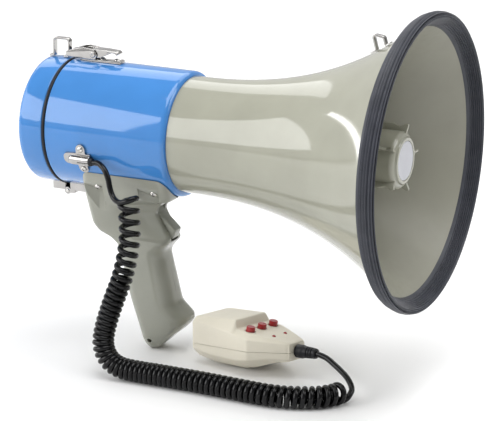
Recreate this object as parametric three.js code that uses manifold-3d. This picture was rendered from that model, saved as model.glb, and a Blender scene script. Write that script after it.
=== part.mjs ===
// Handheld megaphone with a hand microphone on a curly cord.
// Millimetres, +Z up, +X from the battery cover towards the horn's mouth.
// Everything is modelled about the horn's axis, with the mouth at x = 0, and the whole
// group is then shifted so that the origin is the middle of the hand grip.

import * as THREE from 'three';
import { mergeVertices } from 'three/addons/utils/BufferGeometryUtils.js';
import Module from 'manifold-3d';

const wasm = await Module();
wasm.setup();

// ---------------------------------------------------------------- driving dimensions

const clearance = 0.3;
const roundSegments = 40;
const smallSegments = 14;

const handCentre = { x: -236, z: -130 };

const bell = { lipX: -8, flareStartX: -205, rearX: -216, neckRadius: 46.3, flareGrowth: 58.2, wall: 2.4 };
bell.flareLength = 191;
bell.flarePower = 2.5;
bell.flangeHoleRadius = 24;
bell.flangeThickness = 2.5;

const rim = { frontX: 0, rearX: -16.4, outerRadius: 115.2, innerRadius: 104.6 };

const hub = { faceX: -21, rearX: -62, outerRadius: 22.5, wall: 2.2, finReach: 27.6, finCount: 5 };
hub.firstFinAngle = 57;
hub.finThickness = 2.2;
hub.labelRadius = 15;
hub.labelRimRadius = 17.8;

const throat = { frontX: -64, rearX: -215.7, outerRadius: 15.5, innerRadius: 12.6, flangeRadius: 30 };

const shell = { frontX: -202.3, rearX: -308.3, frontRadius: 50.2, rearRadius: 51, wall: 2.5, lipRadius: 46.8 };

const cap = { frontX: -311.2, rearX: -334, radius: 51, wall: 2.6 };
const gasket = { frontX: -308.6, rearX: -310.9, outerRadius: 51.6, innerRadius: 48.4 };

const hinge = { x: -309.7, z: -56, pinRadius: 1.5, boreRadius: 1.65, knuckleRadius: 3, halfWidth: 14 };
hinge.middleHalfWidth = 4.7;

const latch = { pivotX: -295, pivotZ: 58.8, rivetX: -288.2, rivetZ: 57.2 };

const trigger = { pivotX: -235.5, pivotZ: -65, halfWidth: 5.4, trunnionHalf: 7.8, holeHalf: 8.1 };

const mic = { x: -187.5, y: 0.2, z: -168.1, yaw: -10.95, pitch: -4.63, roll: -6.23 };
mic.length = 86;
mic.wall = 2.2;
mic.stepU = 40.4;
mic.buttonU = 51.5;
mic.buttonSpacing = 15;
mic.ledU = 69.4;
mic.ledSpacing = 15;

const cord = { leadRadius: 2.15, coilRadius: 8.6 };

// Height of the surface that the grip's foot, the microphone and the coil rest on.
const floorZ = -183;

// ---------------------------------------------------------------- materials

const colours = {
  bluePlastic: { color: 0x3f86dd, roughness: 0.25, metalness: 0 },
  greyPlastic: { color: 0xa9aa9a, roughness: 0.3, metalness: 0 },
  rimRubber: { color: 0x3c424b, roughness: 0.75, metalness: 0 },
  blackRubber: { color: 0x0f1013, roughness: 0.55, metalness: 0 },
  chromeSteel: { color: 0xd6d4cf, roughness: 0.12, metalness: 1 },
  zincSteel: { color: 0xa4a6a8, roughness: 0.4, metalness: 1 },
  creamPlastic: { color: 0xe2dcc8, roughness: 0.5, metalness: 0 },
  redPlastic: { color: 0xc0101c, roughness: 0.3, metalness: 0 },
  whiteLabel: { color: 0xe9e9e4, roughness: 0.45, metalness: 0 },
  ferrite: { color: 0x2a2b2d, roughness: 0.8, metalness: 0 },
  diaphragmFilm: { color: 0xb07a3c, roughness: 0.5, metalness: 0 },
  circuitBoard: { color: 0x1d5a34, roughness: 0.5, metalness: 0 },
  aluminium: { color: 0xb9bcc0, roughness: 0.35, metalness: 1 },
  blackPlastic: { color: 0x17181a, roughness: 0.5, metalness: 0 },
  batteryJacket: { color: 0x3b3f45, roughness: 0.4, metalness: 0.4 },
};

const materials = {};
for (const [name, values] of Object.entries(colours)) {
  materials[name] = new THREE.MeshStandardMaterial(values);
}

// ---------------------------------------------------------------- solid helpers

// Six times the signed volume of a triangle mesh, used to see which way its faces point.
function signedVolume(positions, triangles) {
  const a = new THREE.Vector3();
  const b = new THREE.Vector3();
  const c = new THREE.Vector3();
  let total = 0;
  for (let i = 0; i < triangles.length; i += 3) {
    a.fromArray(positions, triangles[i] * 3);
    b.fromArray(positions, triangles[i + 1] * 3);
    c.fromArray(positions, triangles[i + 2] * 3);
    total += a.dot(b.cross(c));
  }
  return total;
}

// A closed solid from a three.js geometry, with its faces outwards.
function solidFrom(geometry) {
  const bare = new THREE.BufferGeometry();
  bare.setAttribute('position', geometry.getAttribute('position'));
  bare.setIndex(geometry.getIndex());
  const merged = mergeVertices(bare, 1e-4);
  const positions = merged.getAttribute('position').array;
  const index = merged.getIndex().array;
  const triangles = [];
  for (let i = 0; i < index.length; i += 3) {
    const [a, b, c] = [index[i], index[i + 1], index[i + 2]];
    if (a !== b && b !== c && c !== a) {
      triangles.push(a, b, c);
    }
  }
  if (signedVolume(positions, triangles) < 0) {
    triangles.reverse();
  }
  const mesh = new wasm.Mesh({
    numProp: 3,
    vertProperties: new Float32Array(positions),
    triVerts: new Uint32Array(triangles),
  });
  return new wasm.Manifold(mesh);
}

// The three.js geometry of a finished solid.
function geometryFrom(solid) {
  const mesh = solid.getMesh();
  const geometry = new THREE.BufferGeometry();
  geometry.setAttribute('position', new THREE.BufferAttribute(mesh.vertProperties, 3));
  geometry.setIndex(new THREE.BufferAttribute(mesh.triVerts, 1));
  geometry.computeVertexNormals();
  return geometry;
}

function join(...solids) {
  return solids.reduce((whole, next) => whole.add(next));
}

function cut(solid, ...tools) {
  return tools.reduce((whole, tool) => whole.subtract(tool), solid);
}

// A solid turned about the X axis, from a list of [x, radius] points.
function turned(profile, segments = roundSegments) {
  const points = profile.map(([x, radius]) => new THREE.Vector2(radius, x));
  const geometry = new THREE.LatheGeometry(points, segments);
  geometry.rotateZ(-Math.PI / 2);
  return solidFrom(geometry);
}

// The same, for a ring or tube whose profile closes on itself.
function turnedRing(profile, segments = roundSegments) {
  return turned([...profile, profile[0]], segments);
}

function box(x, y, z) {
  const geometry = new THREE.BoxGeometry(x[1] - x[0], y[1] - y[0], z[1] - z[0]);
  geometry.translate((x[0] + x[1]) / 2, (y[0] + y[1]) / 2, (z[0] + z[1]) / 2);
  return solidFrom(geometry);
}

// A cylinder, or a cone, between two points.
function cylinder(from, to, radius, { endRadius = radius, segments = smallSegments } = {}) {
  const start = new THREE.Vector3(...from);
  const end = new THREE.Vector3(...to);
  const direction = end.clone().sub(start);
  const geometry = new THREE.CylinderGeometry(endRadius, radius, direction.length(), segments);
  const turn = new THREE.Quaternion();
  turn.setFromUnitVectors(new THREE.Vector3(0, 1, 0), direction.clone().normalize());
  geometry.applyQuaternion(turn);
  const middle = start.add(end).multiplyScalar(0.5);
  geometry.translate(middle.x, middle.y, middle.z);
  return solidFrom(geometry);
}

// A plate with a side-view outline of [x, z] points, between two Y planes.
function sidePlate(outline, y) {
  const shape = new THREE.Shape(outline.map(([x, z]) => new THREE.Vector2(x, z)));
  const geometry = new THREE.ExtrudeGeometry(shape, { depth: y[1] - y[0], bevelEnabled: false });
  geometry.rotateX(Math.PI / 2);
  geometry.translate(0, y[1], 0);
  return solidFrom(geometry);
}

// A plate of the same outline on both sides of the middle plane.
function pairOfPlates(outline, inner, outer) {
  return join(sidePlate(outline, [inner, outer]), sidePlate(outline, [-outer, -inner]));
}

// A closed body through a list of rings, each the same number of [x, y, z] points.
function loft(rings) {
  const count = rings[0].length;
  const positions = rings.flat(2);
  const triangles = [];
  for (let ring = 0; ring < rings.length - 1; ring += 1) {
    for (let i = 0; i < count; i += 1) {
      const next = (i + 1) % count;
      const a = ring * count + i;
      const b = ring * count + next;
      triangles.push(a, b, b + count, a, b + count, a + count);
    }
  }
  const last = (rings.length - 1) * count;
  for (let i = 1; i < count - 1; i += 1) {
    triangles.push(0, i + 1, i);
    triangles.push(last, last + i, last + i + 1);
  }
  const geometry = new THREE.BufferGeometry();
  geometry.setAttribute('position', new THREE.Float32BufferAttribute(positions, 3));
  geometry.setIndex(triangles);
  return solidFrom(geometry);
}

// A round cord along hand-placed route points, rounded between them.
function cordAlong(points, radius, steps, sides) {
  const route = new THREE.CatmullRomCurve3(points.map((point) => new THREE.Vector3(...point)), false, 'centripetal');
  const shape = new THREE.Shape();
  for (let i = 0; i < sides; i += 1) {
    const angle = (2 * Math.PI * i) / sides;
    const [x, y] = [radius * Math.cos(angle), radius * Math.sin(angle)];
    if (i === 0) {
      shape.moveTo(x, y);
    } else {
      shape.lineTo(x, y);
    }
  }
  const geometry = new THREE.ExtrudeGeometry(shape, { steps, extrudePath: route, bevelEnabled: false });
  return solidFrom(geometry);
}

// ---------------------------------------------------------------- assembly

const assembly = new THREE.Group();
assembly.position.set(-handCentre.x, 0, -handCentre.z);

function place(name, solid, material, parent = assembly) {
  const mesh = new THREE.Mesh(geometryFrom(solid), material);
  mesh.name = name;
  parent.add(mesh);
}

// ---------------------------------------------------------------- horn

function bellOuterRadius(x) {
  const along = Math.max(0, (x - bell.flareStartX) / bell.flareLength);
  return bell.neckRadius + bell.flareGrowth * along ** bell.flarePower;
}

function bellInnerRadius(x) {
  const step = 0.5;
  const slope = (bellOuterRadius(x + step) - bellOuterRadius(x - step)) / (2 * step);
  return bellOuterRadius(x) - bell.wall * Math.hypot(1, slope);
}

function flareStations(from, to, count) {
  const stations = [];
  for (let i = 0; i <= count; i += 1) {
    stations.push(from + ((to - from) * i) / count);
  }
  return stations;
}

function buildBell() {
  const stations = flareStations(-190, bell.lipX, 9);
  const outside = stations.map((x) => [x, bellOuterRadius(x)]);
  const inside = stations.map((x) => [x, bellInnerRadius(x)]).reverse();
  const floorX = bell.rearX + bell.flangeThickness;
  return turnedRing([
    [bell.rearX, bell.flangeHoleRadius],
    [bell.rearX, bell.neckRadius],
    ...outside,
    ...inside,
    [floorX, bell.neckRadius - bell.wall],
    [floorX, bell.flangeHoleRadius],
  ]);
}

// A rubber bumper with a slot round its back that grips the bell's lip.
function buildRim() {
  const slotEndX = bell.lipX + clearance;
  return turnedRing([
    [rim.rearX, bellOuterRadius(rim.rearX) + clearance + 0.2],
    [rim.rearX, 106.2],
    [-13.6, 111.2],
    [-9, 114.5],
    [-4.5, rim.outerRadius],
    [-1.2, 114.6],
    [rim.frontX, 113],
    [rim.frontX, 111],
    [-1.6, 109.2],
    [-8.6, rim.innerRadius],
    [-11.4, bellInnerRadius(-11.4) - clearance],
    [slotEndX, bellInnerRadius(slotEndX) - clearance],
    [slotEndX, bellOuterRadius(slotEndX) + clearance],
  ]);
}

// The cup that turns the sound back, with fins that hold it on the throat tube.
function buildHub() {
  const cup = turned([
    [hub.faceX - 3, 0],
    [hub.faceX - 0.9, 0],
    [hub.faceX - 0.9, hub.labelRadius + clearance],
    [hub.faceX, hub.labelRadius + clearance + 0.2],
    [hub.faceX, hub.labelRimRadius],
    [hub.faceX - 2.5, hub.outerRadius - 1.2],
    [hub.faceX - 6, hub.outerRadius],
    [hub.rearX, hub.outerRadius],
    [hub.rearX, hub.outerRadius - hub.wall],
    [hub.faceX - 6, hub.outerRadius - hub.wall],
    [hub.faceX - 3, hub.outerRadius - 2 * hub.wall],
  ].concat([[hub.faceX - 3, 0]]));
  const collarRadius = throat.outerRadius + clearance;
  const collar = turnedRing([
    [hub.rearX - 10, collarRadius],
    [hub.rearX - 10, collarRadius + 2],
    [hub.rearX + 2, collarRadius + 2],
    [hub.rearX + 2, collarRadius],
  ]);
  let whole = join(cup, collar);
  const finOutline = [
    [hub.faceX - 2.6, hub.outerRadius - 1.5],
    [hub.faceX - 1, hub.finReach],
    [hub.faceX - 4, hub.finReach],
    [hub.faceX - 8, hub.finReach - 2],
    [hub.faceX - 12, hub.finReach],
    [hub.rearX - 10, hub.finReach],
    [hub.rearX - 10, collarRadius + 1],
    [hub.rearX - 0.5, collarRadius + 1],
    [hub.rearX - 0.5, hub.outerRadius - 1],
  ];
  const fin = sidePlate(finOutline, [-hub.finThickness / 2, hub.finThickness / 2]);
  for (let i = 0; i < hub.finCount; i += 1) {
    whole = whole.add(fin.rotate([hub.firstFinAngle - (360 / hub.finCount) * i, 0, 0]));
  }
  return whole;
}

function buildHubLabel() {
  return turned([
    [hub.faceX - 0.7, 0],
    [hub.faceX - 0.7, hub.labelRadius],
    [hub.faceX - 0.2, hub.labelRadius],
    [hub.faceX - 0.2, 0],
  ]);
}

function buildThroatTube() {
  return turnedRing([
    [throat.rearX, throat.innerRadius],
    [throat.rearX, throat.outerRadius],
    [-213.2, throat.outerRadius],
    [-213.2, throat.flangeRadius],
    [-211, throat.flangeRadius],
    [-211, throat.outerRadius],
    [throat.frontX, throat.outerRadius],
    [throat.frontX, throat.innerRadius],
  ], 28);
}

place('horn_bell', buildBell(), materials.greyPlastic);
place('rim_bumper', buildRim(), materials.rimRubber);
place('horn_hub', buildHub(), materials.greyPlastic);
place('hub_label_disc', buildHubLabel(), materials.whiteLabel);
place('throat_tube', buildThroatTube(), materials.greyPlastic);

// ---------------------------------------------------------------- driver

function buildDriverPlate() {
  return turnedRing([[-219.5, 12.8], [-219.5, 36], [-216.3, 36], [-216.3, 12.8]], 28);
}

function buildDriverMagnet() {
  return turnedRing([[-229.5, 16], [-229.5, 38], [-219.8, 38], [-219.8, 16]], 28);
}

function buildDriverYoke() {
  return turned([[-234, 0], [-234, 36], [-229.8, 36], [-229.8, 11.5], [-220, 11.5], [-220, 0]], 28);
}

function buildDiaphragm() {
  return turned([[-219.7, 0], [-219.7, 12.3], [-219.2, 12.3], [-217.4, 8], [-216.4, 0]], 28);
}

place('driver_plate', buildDriverPlate(), materials.zincSteel);
place('driver_magnet', buildDriverMagnet(), materials.ferrite);
place('driver_yoke', buildDriverYoke(), materials.zincSteel);
place('driver_diaphragm', buildDiaphragm(), materials.diaphragmFilm);

// ---------------------------------------------------------------- screws

// A pan-head screw whose head sits on a surface and whose shank goes in along `inward`.
function panScrew(headBase, inward, { headRadius = 2.5, headHeight = 1.5, shankRadius = 1.2, length = 6 } = {}) {
  const base = new THREE.Vector3(...headBase);
  const along = new THREE.Vector3(...inward).normalize();
  const top = base.clone().addScaledVector(along, -headHeight);
  const tip = base.clone().addScaledVector(along, length);
  const head = cylinder(base.toArray(), top.toArray(), headRadius, { endRadius: headRadius * 0.7, segments: 12 });
  const buried = base.clone().addScaledVector(along, -0.2);
  const shank = cylinder(buried.toArray(), tip.toArray(), shankRadius, { segments: 8 });
  return head.add(shank);
}

// The hole that the screw's shank needs.
function screwHole(headBase, inward, { holeRadius = 1.5, length = 9 } = {}) {
  const base = new THREE.Vector3(...headBase);
  const along = new THREE.Vector3(...inward).normalize();
  const outside = base.clone().addScaledVector(along, -0.1);
  const inside = base.clone().addScaledVector(along, length);
  return cylinder(outside.toArray(), inside.toArray(), holeRadius, { segments: 8 });
}

// Places of the screws that go into the body shell: a point under the head and the way in.
const latchScrews = [-269.5, -303.5 + 21].map((x) => ({ base: [x, 0, 52.9], inward: [0, 0, -1] }));

const clipAngle = THREE.MathUtils.degToRad(19.3);

function onClip(x, y, z) {
  const turnedY = y * Math.cos(clipAngle) - z * Math.sin(clipAngle);
  const turnedZ = y * Math.sin(clipAngle) + z * Math.cos(clipAngle);
  return [x, turnedY, turnedZ];
}

const clipScrews = [9, -9].map((z) => ({
  base: onClip(-275.5, -53.1, z),
  inward: onClip(0, 1, 0),
}));

const saddleScrews = [];
for (const side of [-1, 1]) {
  for (const x of [-269, -219]) {
    saddleScrews.push({ base: [x, side * 35.6, -41.5], inward: [0, -side * 0.651, 0.759] });
  }
}

// ---------------------------------------------------------------- body shell

function buildShell() {
  const { frontX, rearX, frontRadius, rearRadius, wall, lipRadius } = shell;
  const tube = turnedRing([
    [rearX, rearRadius - wall],
    [rearX, rearRadius],
    [frontX - 4.5, frontRadius],
    [frontX - 2, frontRadius - 0.7],
    [frontX - 0.5, frontRadius - 2.2],
    [frontX, lipRadius + 0.4],
    [frontX, lipRadius],
    [frontX - 5, lipRadius],
    [frontX - 6, frontRadius - wall],
  ]);
  const holes = [...latchScrews, ...clipScrews].map(({ base, inward }) => screwHole(base, inward));
  const saddleHoles = saddleScrews.map(({ base, inward }) => screwHole(base, inward, { length: 14 }));
  return cut(tube, ...holes, ...saddleHoles);
}

// The wall between the amplifier and the batteries, with posts for the board.
function buildAmplifierPlate() {
  let plate = turned([[-253, 0], [-253, 47], [-250.5, 47], [-250.5, 0]], 28);
  for (const y of [-26, 26]) {
    for (const z of [-20, 20]) {
      plate = plate.add(cylinder([-251, y, z], [-249.2, y, z], 2.5, { segments: 8 }));
    }
  }
  return plate;
}

function buildHeatSink() {
  let sink = box([-246.9, -244.4], [-22, 22], [2, 24]);
  for (let i = 0; i < 6; i += 1) {
    const y = -20.8 + 8 * i;
    sink = sink.add(box([-245, -238], [y, y + 1.6], [2, 24]));
  }
  return sink;
}

function buildBatteryCarrier() {
  return turned([
    [-313, 0],
    [-313, 45],
    [-311, 45],
    [-311, 9],
    [-258.6, 9],
    [-258.6, 45],
    [-256.6, 45],
    [-256.6, 0],
  ], 28);
}

function buildBatteryCell(index) {
  const angle = (Math.PI / 3) * (index + 0.5);
  const y = 30 * Math.cos(angle);
  const z = 30 * Math.sin(angle);
  const can = cylinder([-310.4, y, z], [-261, y, z], 13, { segments: 16 });
  const button = cylinder([-261.5, y, z], [-259.2, y, z], 3.2, { segments: 8 });
  return can.add(button);
}

place('body_shell', buildShell(), materials.bluePlastic);
place('amplifier_plate', buildAmplifierPlate(), materials.blackPlastic);
place('amplifier_board', box([-248.9, -247.3], [-32, 32], [-27, 27]), materials.circuitBoard);
place('heat_sink', buildHeatSink(), materials.aluminium);
place('battery_carrier', buildBatteryCarrier(), materials.blackPlastic);
for (let i = 0; i < 6; i += 1) {
  place(`battery_cell_${i + 1}`, buildBatteryCell(i), materials.batteryJacket);
}

// ---------------------------------------------------------------- battery cover

function buildCap() {
  const { frontX, rearX, radius, wall } = cap;
  return turned([
    [rearX, 0],
    [rearX, 36],
    [rearX + 0.9, 37],
    [rearX, 38],
    [rearX, radius - 4.5],
    [rearX + 1.2, radius - 1.5],
    [rearX + 3.8, radius],
    [frontX, radius],
    [frontX, radius - wall],
    [rearX + 3.8, radius - wall],
    [rearX + wall, radius - 5],
    [rearX + wall, 0],
  ]);
}

function buildGasket() {
  const { frontX, rearX, outerRadius, innerRadius } = gasket;
  return turnedRing([
    [rearX, innerRadius],
    [rearX, outerRadius - 0.4],
    [(rearX + frontX) / 2, outerRadius],
    [frontX, outerRadius - 0.4],
    [frontX, innerRadius],
  ]);
}

// The contact disc stands off the cover, and its two studs reach the battery carrier.
function buildContactPlate() {
  let plate = turned([[-329.5, 0], [-329.5, 40], [-328, 40], [-328, 0]], 24);
  for (const z of [-35, 35]) {
    plate = plate.add(cylinder([-331.1, 0, z], [-313.4, 0, z], 2.4, { segments: 10 }));
  }
  return plate;
}

// A flat strip bent to a U, with its two legs ending just off the surface.
function buildStripRing(centreLine, thickness, halfWidth) {
  const outer = [];
  const inner = [];
  centreLine.forEach(([x, z], index) => {
    const before = centreLine[Math.max(0, index - 1)];
    const after = centreLine[Math.min(centreLine.length - 1, index + 1)];
    const along = new THREE.Vector2(after[0] - before[0], after[1] - before[1]).normalize();
    outer.push([x - (along.y * thickness) / 2, z + (along.x * thickness) / 2]);
    inner.push([x + (along.y * thickness) / 2, z - (along.x * thickness) / 2]);
  });
  return sidePlate([...outer, ...inner.reverse()], [-halfWidth, halfWidth]);
}

const rearRingLine = [
  [-330.5, 52.2], [-327.4, 52.3], [-326.4, 53.4], [-326.2, 64], [-325.4, 65.9], [-323.6, 66.6],
  [-315, 66.6], [-313.2, 65.9], [-312.5, 64], [-312.9, 53.4], [-314, 52.3], [-317.5, 52.2],
];

place('rear_cap', buildCap(), materials.bluePlastic);
place('cap_gasket', buildGasket(), materials.blackRubber);
place('contact_plate', buildContactPlate(), materials.zincSteel);
place('strap_ring_rear', buildStripRing(rearRingLine, 1.5, 2.5), materials.chromeSteel);

// ---------------------------------------------------------------- hinge under the cover

const bodySurface = turned([[-340, 0], [-340, 51.9], [-190, 51.9], [-190, 0]]);

function knuckle(y) {
  return cylinder([hinge.x, y[0], hinge.z], [hinge.x, y[1], hinge.z], hinge.knuckleRadius);
}

function hingeBore() {
  return cylinder([hinge.x, -20, hinge.z], [hinge.x, 20, hinge.z], hinge.boreRadius);
}

function buildHingeLeafBody() {
  const { halfWidth, middleHalfWidth } = hinge;
  const innerEdge = middleHalfWidth + clearance;
  let leaf = box([-306, -293], [-halfWidth, halfWidth], [-55.5, -44]);
  for (const y of [[-halfWidth, -innerEdge], [innerEdge, halfWidth]]) {
    leaf = join(leaf, box([-309.2, -305.5], y, [-57, -54]), knuckle(y));
  }
  return cut(leaf, bodySurface, hingeBore());
}

function buildHingeLeafCap() {
  const { halfWidth, middleHalfWidth } = hinge;
  const tongue = [-middleHalfWidth, middleHalfWidth];
  const leaf = box([-324, -313.3], [-halfWidth, halfWidth], [-55.5, -44]);
  const whole = join(leaf, box([-314, -310.2], tongue, [-57, -54]), knuckle(tongue));
  return cut(whole, bodySurface, hingeBore());
}

function buildHingePin() {
  const reach = hinge.halfWidth + 0.6;
  return cylinder([hinge.x, -reach, hinge.z], [hinge.x, reach, hinge.z], hinge.pinRadius);
}

place('hinge_leaf_body', buildHingeLeafBody(), materials.chromeSteel);
place('hinge_leaf_cap', buildHingeLeafCap(), materials.chromeSteel);
place('hinge_pin', buildHingePin(), materials.zincSteel);

// ---------------------------------------------------------------- draw latch on top

function buildLatchBase() {
  const { pivotX, pivotZ } = latch;
  const plate = cut(box([-301, -264.5], [-6, 6], [48, 52.7]), bodySurface);
  const ears = pairOfPlates([
    [pivotX - 3.5, 52.2],
    [pivotX - 3.5, pivotZ + 1.5],
    [pivotX - 1.8, pivotZ + 2.6],
    [pivotX + 1.8, pivotZ + 2.6],
    [pivotX + 3.5, pivotZ + 1.5],
    [pivotX + 3.5, 52.2],
  ], 2.6, 3.6);
  const pinHole = cylinder([pivotX, -5, pivotZ], [pivotX, 5, pivotZ], 1.3, { segments: 12 });
  const holes = latchScrews.map(({ base, inward }) => screwHole(base, inward));
  return cut(join(plate, ears), pinHole, ...holes);
}

// The lever: two cheeks on the pivot pin, a top plate, and a turned-up tail to lift it by.
function buildLatchLever() {
  const { pivotX, pivotZ, rivetX, rivetZ } = latch;
  const cheeks = pairOfPlates([
    [pivotX - 2.6, pivotZ - 1.8],
    [pivotX - 2.6, pivotZ + 1.4],
    [pivotX - 1, pivotZ + 2.4],
    [-281, pivotZ + 2.4],
    [-276, pivotZ + 2.2],
    [-276, pivotZ - 1],
    [-283, 54.6],
    [-290, 54.2],
  ], 3.9, 4.8);
  const top = sidePlate([
    [-290.4, 60.3], [-290.4, 61.2], [-277, 61.2], [-267.5, 60.6], [-265.2, 62.6],
    [-264.2, 62], [-266.8, 59.4], [-277, 60.3],
  ], [-4.8, 4.8]);
  const pin = cylinder([pivotX, -4.2, pivotZ], [pivotX, 4.2, pivotZ], 1.1, { segments: 12 });
  let lever = join(cheeks, top, pin);
  for (const side of [-1, 1]) {
    const shank = cylinder([rivetX, side * 4.5, rivetZ], [rivetX, side * 7, rivetZ], 1.5, { segments: 12 });
    const head = cylinder([rivetX, side * 6.6, rivetZ], [rivetX, side * 7.3, rivetZ], 2.3, { segments: 12 });
    lever = join(lever, shank, head);
  }
  return lever;
}

// The arm: a channel whose two cheeks reach past the front leg of the cover's ring.
function buildLatchArm() {
  const { rivetX, rivetZ } = latch;
  const cheek = [
    [-316.4, 54.8],
    [-316.8, 56],
    [-316, 57.6],
    [-297, 62.6],
    [-290, 61.6],
    [-285.8, 59.2],
    [-284.9, 57.2],
    [-285.8, 55.2],
    [-288.2, 54.3],
    [-300, 54.5],
  ];
  const cheeks = pairOfPlates(cheek, 5.2, 6.2);
  const bridge = sidePlate([[-306, 59.2], [-306, 60.2], [-300, 61.8], [-300, 60.8]], [-5.8, 5.8]);
  const hole = cylinder([rivetX, -8, rivetZ], [rivetX, 8, rivetZ], 1.8, { segments: 12 });
  return cut(join(cheeks, bridge), hole);
}

place('latch_base', buildLatchBase(), materials.chromeSteel);
latchScrews.forEach(({ base, inward }, index) => {
  place(`latch_screw_${index + 1}`, panScrew(base, inward), materials.chromeSteel);
});
place('latch_lever', buildLatchLever(), materials.chromeSteel);
place('latch_arm', buildLatchArm(), materials.chromeSteel);

// ---------------------------------------------------------------- front strap ring

const frontRingLine = [
  [-50.5, 80.9], [-47.4, 82.8], [-46.6, 84.2], [-48.8, 92.6], [-48.2, 94.5], [-46.8, 95],
  [-41.6, 94.2], [-40, 93.2], [-38.6, 88.4], [-37.2, 88], [-34.4, 90.4],
];

function buildFrontRing() {
  const x = [frontRingLine[0][0] - 2, frontRingLine[frontRingLine.length - 1][0] + 2];
  const bellSurface = turned([
    [x[0], 0],
    [x[0], bellOuterRadius(x[0]) + clearance],
    [(x[0] + x[1]) / 2, bellOuterRadius((x[0] + x[1]) / 2) + clearance],
    [x[1], bellOuterRadius(x[1]) + clearance],
    [x[1], 0],
  ], 96);
  return cut(buildStripRing(frontRingLine, 1.5, 2.5), bellSurface);
}

place('strap_ring_front', buildFrontRing(), materials.chromeSteel);

// ---------------------------------------------------------------- cord clip and gland

function turnToClip(solid) {
  return solid.rotate([THREE.MathUtils.radToDeg(clipAngle), 0, 0]);
}

function buildCordClip() {
  const plate = box([-287, -267], [-52.9, -45], [-7, 7]);
  const nose = cylinder([-287, -52.9, 0], [-287, -45, 0], 4.5);
  const ears = [9, -9].map((z) => cylinder([-275.5, -52.9, z], [-275.5, -45, z], 3.8));
  const channel = join(
    box([-286, -267.4], [-54.6, -52], [-4.2, 4.2]),
    cylinder([-286, -54.6, 0], [-267.4, -54.6, 0], 4.2),
  );
  const bore = cylinder([-278, -54.6, 0], [-260, -54.6, 0], 3.2);
  const holes = clipScrews.map(({ base, inward }) => screwHole(base, inward));
  const clip = turnToClip(cut(join(plate, nose, ...ears, channel), bore));
  return cut(clip, bodySurface, ...holes);
}

function buildCordGland() {
  const sleeve = cylinder([-277.5, -54.6, 0], [-266, -54.6, 0], 2.9);
  const collar = cylinder([-267, -54.6, 0], [-264.5, -54.6, 0], 3.8, { endRadius: 3 });
  return turnToClip(join(sleeve, collar));
}

place('cord_clip', buildCordClip(), materials.chromeSteel);
clipScrews.forEach(({ base, inward }, index) => {
  place(`clip_screw_${index + 1}`, panScrew(base, inward), materials.chromeSteel);
});
place('cord_gland', buildCordGland(), materials.blackRubber);

// ---------------------------------------------------------------- pistol grip

// Each section runs from a point on the back to a point on the front, [x, z], with half its width.
// Round the trigger the width narrows over the front half of the section, to frontHalf.
const gripSections = [
  { back: [-283, -20], front: [-205.5, -20], half: 42.5, corner: 10 },
  { back: [-283, -33], front: [-205.5, -34], half: 41.5, corner: 10 },
  { back: [-283.3, -46], front: [-206, -48], half: 35.5, corner: 9 },
  { back: [-283.6, -58], front: [-226, -57.6], half: 29, corner: 6, frontHalf: 10.5 },
  { back: [-284, -66], front: [-231.5, -65.8], half: 25.2, corner: 6, frontHalf: 9.6 },
  { back: [-284.4, -78], front: [-224.4, -77.8], half: 20.6, corner: 5, frontHalf: 9.6 },
  { back: [-281.5, -84.8], front: [-219.4, -86.4], half: 18.6, corner: 5, frontHalf: 10.5 },
  { back: [-273.5, -88.8], front: [-219.4, -90.2], half: 17.6, corner: 5 },
  { back: [-267.4, -95], front: [-225.6, -98], half: 16.8, corner: 6 },
  { back: [-265.4, -102], front: [-226, -102], half: 16.5, corner: 6 },
  { back: [-256.8, -138.5], front: [-216, -143], half: 16.5, corner: 6 },
  { back: [-251.6, -153], front: [-206, -152.4], half: 16.5, corner: 6 },
  { back: [-247, -167], front: [-205.8, -156.4], half: 16.5, corner: 6 },
  { back: [-245.4, -173.4], front: [-210.6, -162.6], half: 15.6, corner: 5 },
  { back: [-243, -179], front: [-219, -169.6], half: 12.6, corner: 4 },
  { back: [-240, -182.7], front: [-231, -180.8], half: 7.5, corner: 3 },
];

// The eight corners of one section, drawn in by `inset` for the hollow inside.
function gripRing({ back, front, half, corner, frontHalf }, inset) {
  const along = new THREE.Vector2(front[0] - back[0], front[1] - back[1]);
  const length = along.length();
  along.normalize();
  const at = (distance, y) => [back[0] + along.x * distance, y, back[1] + along.y * distance];
  const width = half - inset;
  const start = inset;
  const end = length - inset;
  const chamfer = Math.max(corner - inset, 1);
  const shoulder = frontHalf ? length / 2 : end - chamfer;
  const frontWidth = frontHalf ? frontHalf - inset : width - chamfer;
  return [
    at(start + chamfer, -width),
    at(shoulder, -width),
    at(end, -frontWidth),
    at(end, frontWidth),
    at(shoulder, width),
    at(start + chamfer, width),
    at(start, width - chamfer),
    at(start, -width + chamfer),
  ];
}

const triggerSlot = sidePlate([
  [-239.6, -61], [-205, -61], [-205, -89.8],
  [-222, -89.8], [-240, -84], [-240, -66],
], [-5.9, 5.9]);

function buildGripBody() {
  const outside = loft(gripSections.map((section) => gripRing(section, 0)));
  const hollow = loft(gripSections.slice(3, 14).map((section) => gripRing(section, 2.6)));
  const lanyardHole = cylinder([-236.4, -20, -173.8], [-236.4, 20, -173.8], 1.6, { segments: 12 });
  let body = cut(outside, bodySurface, hollow, triggerSlot, lanyardHole);
  for (const side of [-1, 1]) {
    const boss = cylinder(
      [trigger.pivotX, side * 6.1, trigger.pivotZ],
      [trigger.pivotX, side * (trigger.holeHalf + 1.6), trigger.pivotZ],
      3.4,
      { segments: 12 },
    );
    const hole = cylinder(
      [trigger.pivotX, side * 5, trigger.pivotZ],
      [trigger.pivotX, side * trigger.holeHalf, trigger.pivotZ],
      2.15,
      { segments: 12 },
    );
    body = body.add(boss).subtract(hole);
  }
  return cut(body, ...saddleScrews.map(screwPocket));
}

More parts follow.
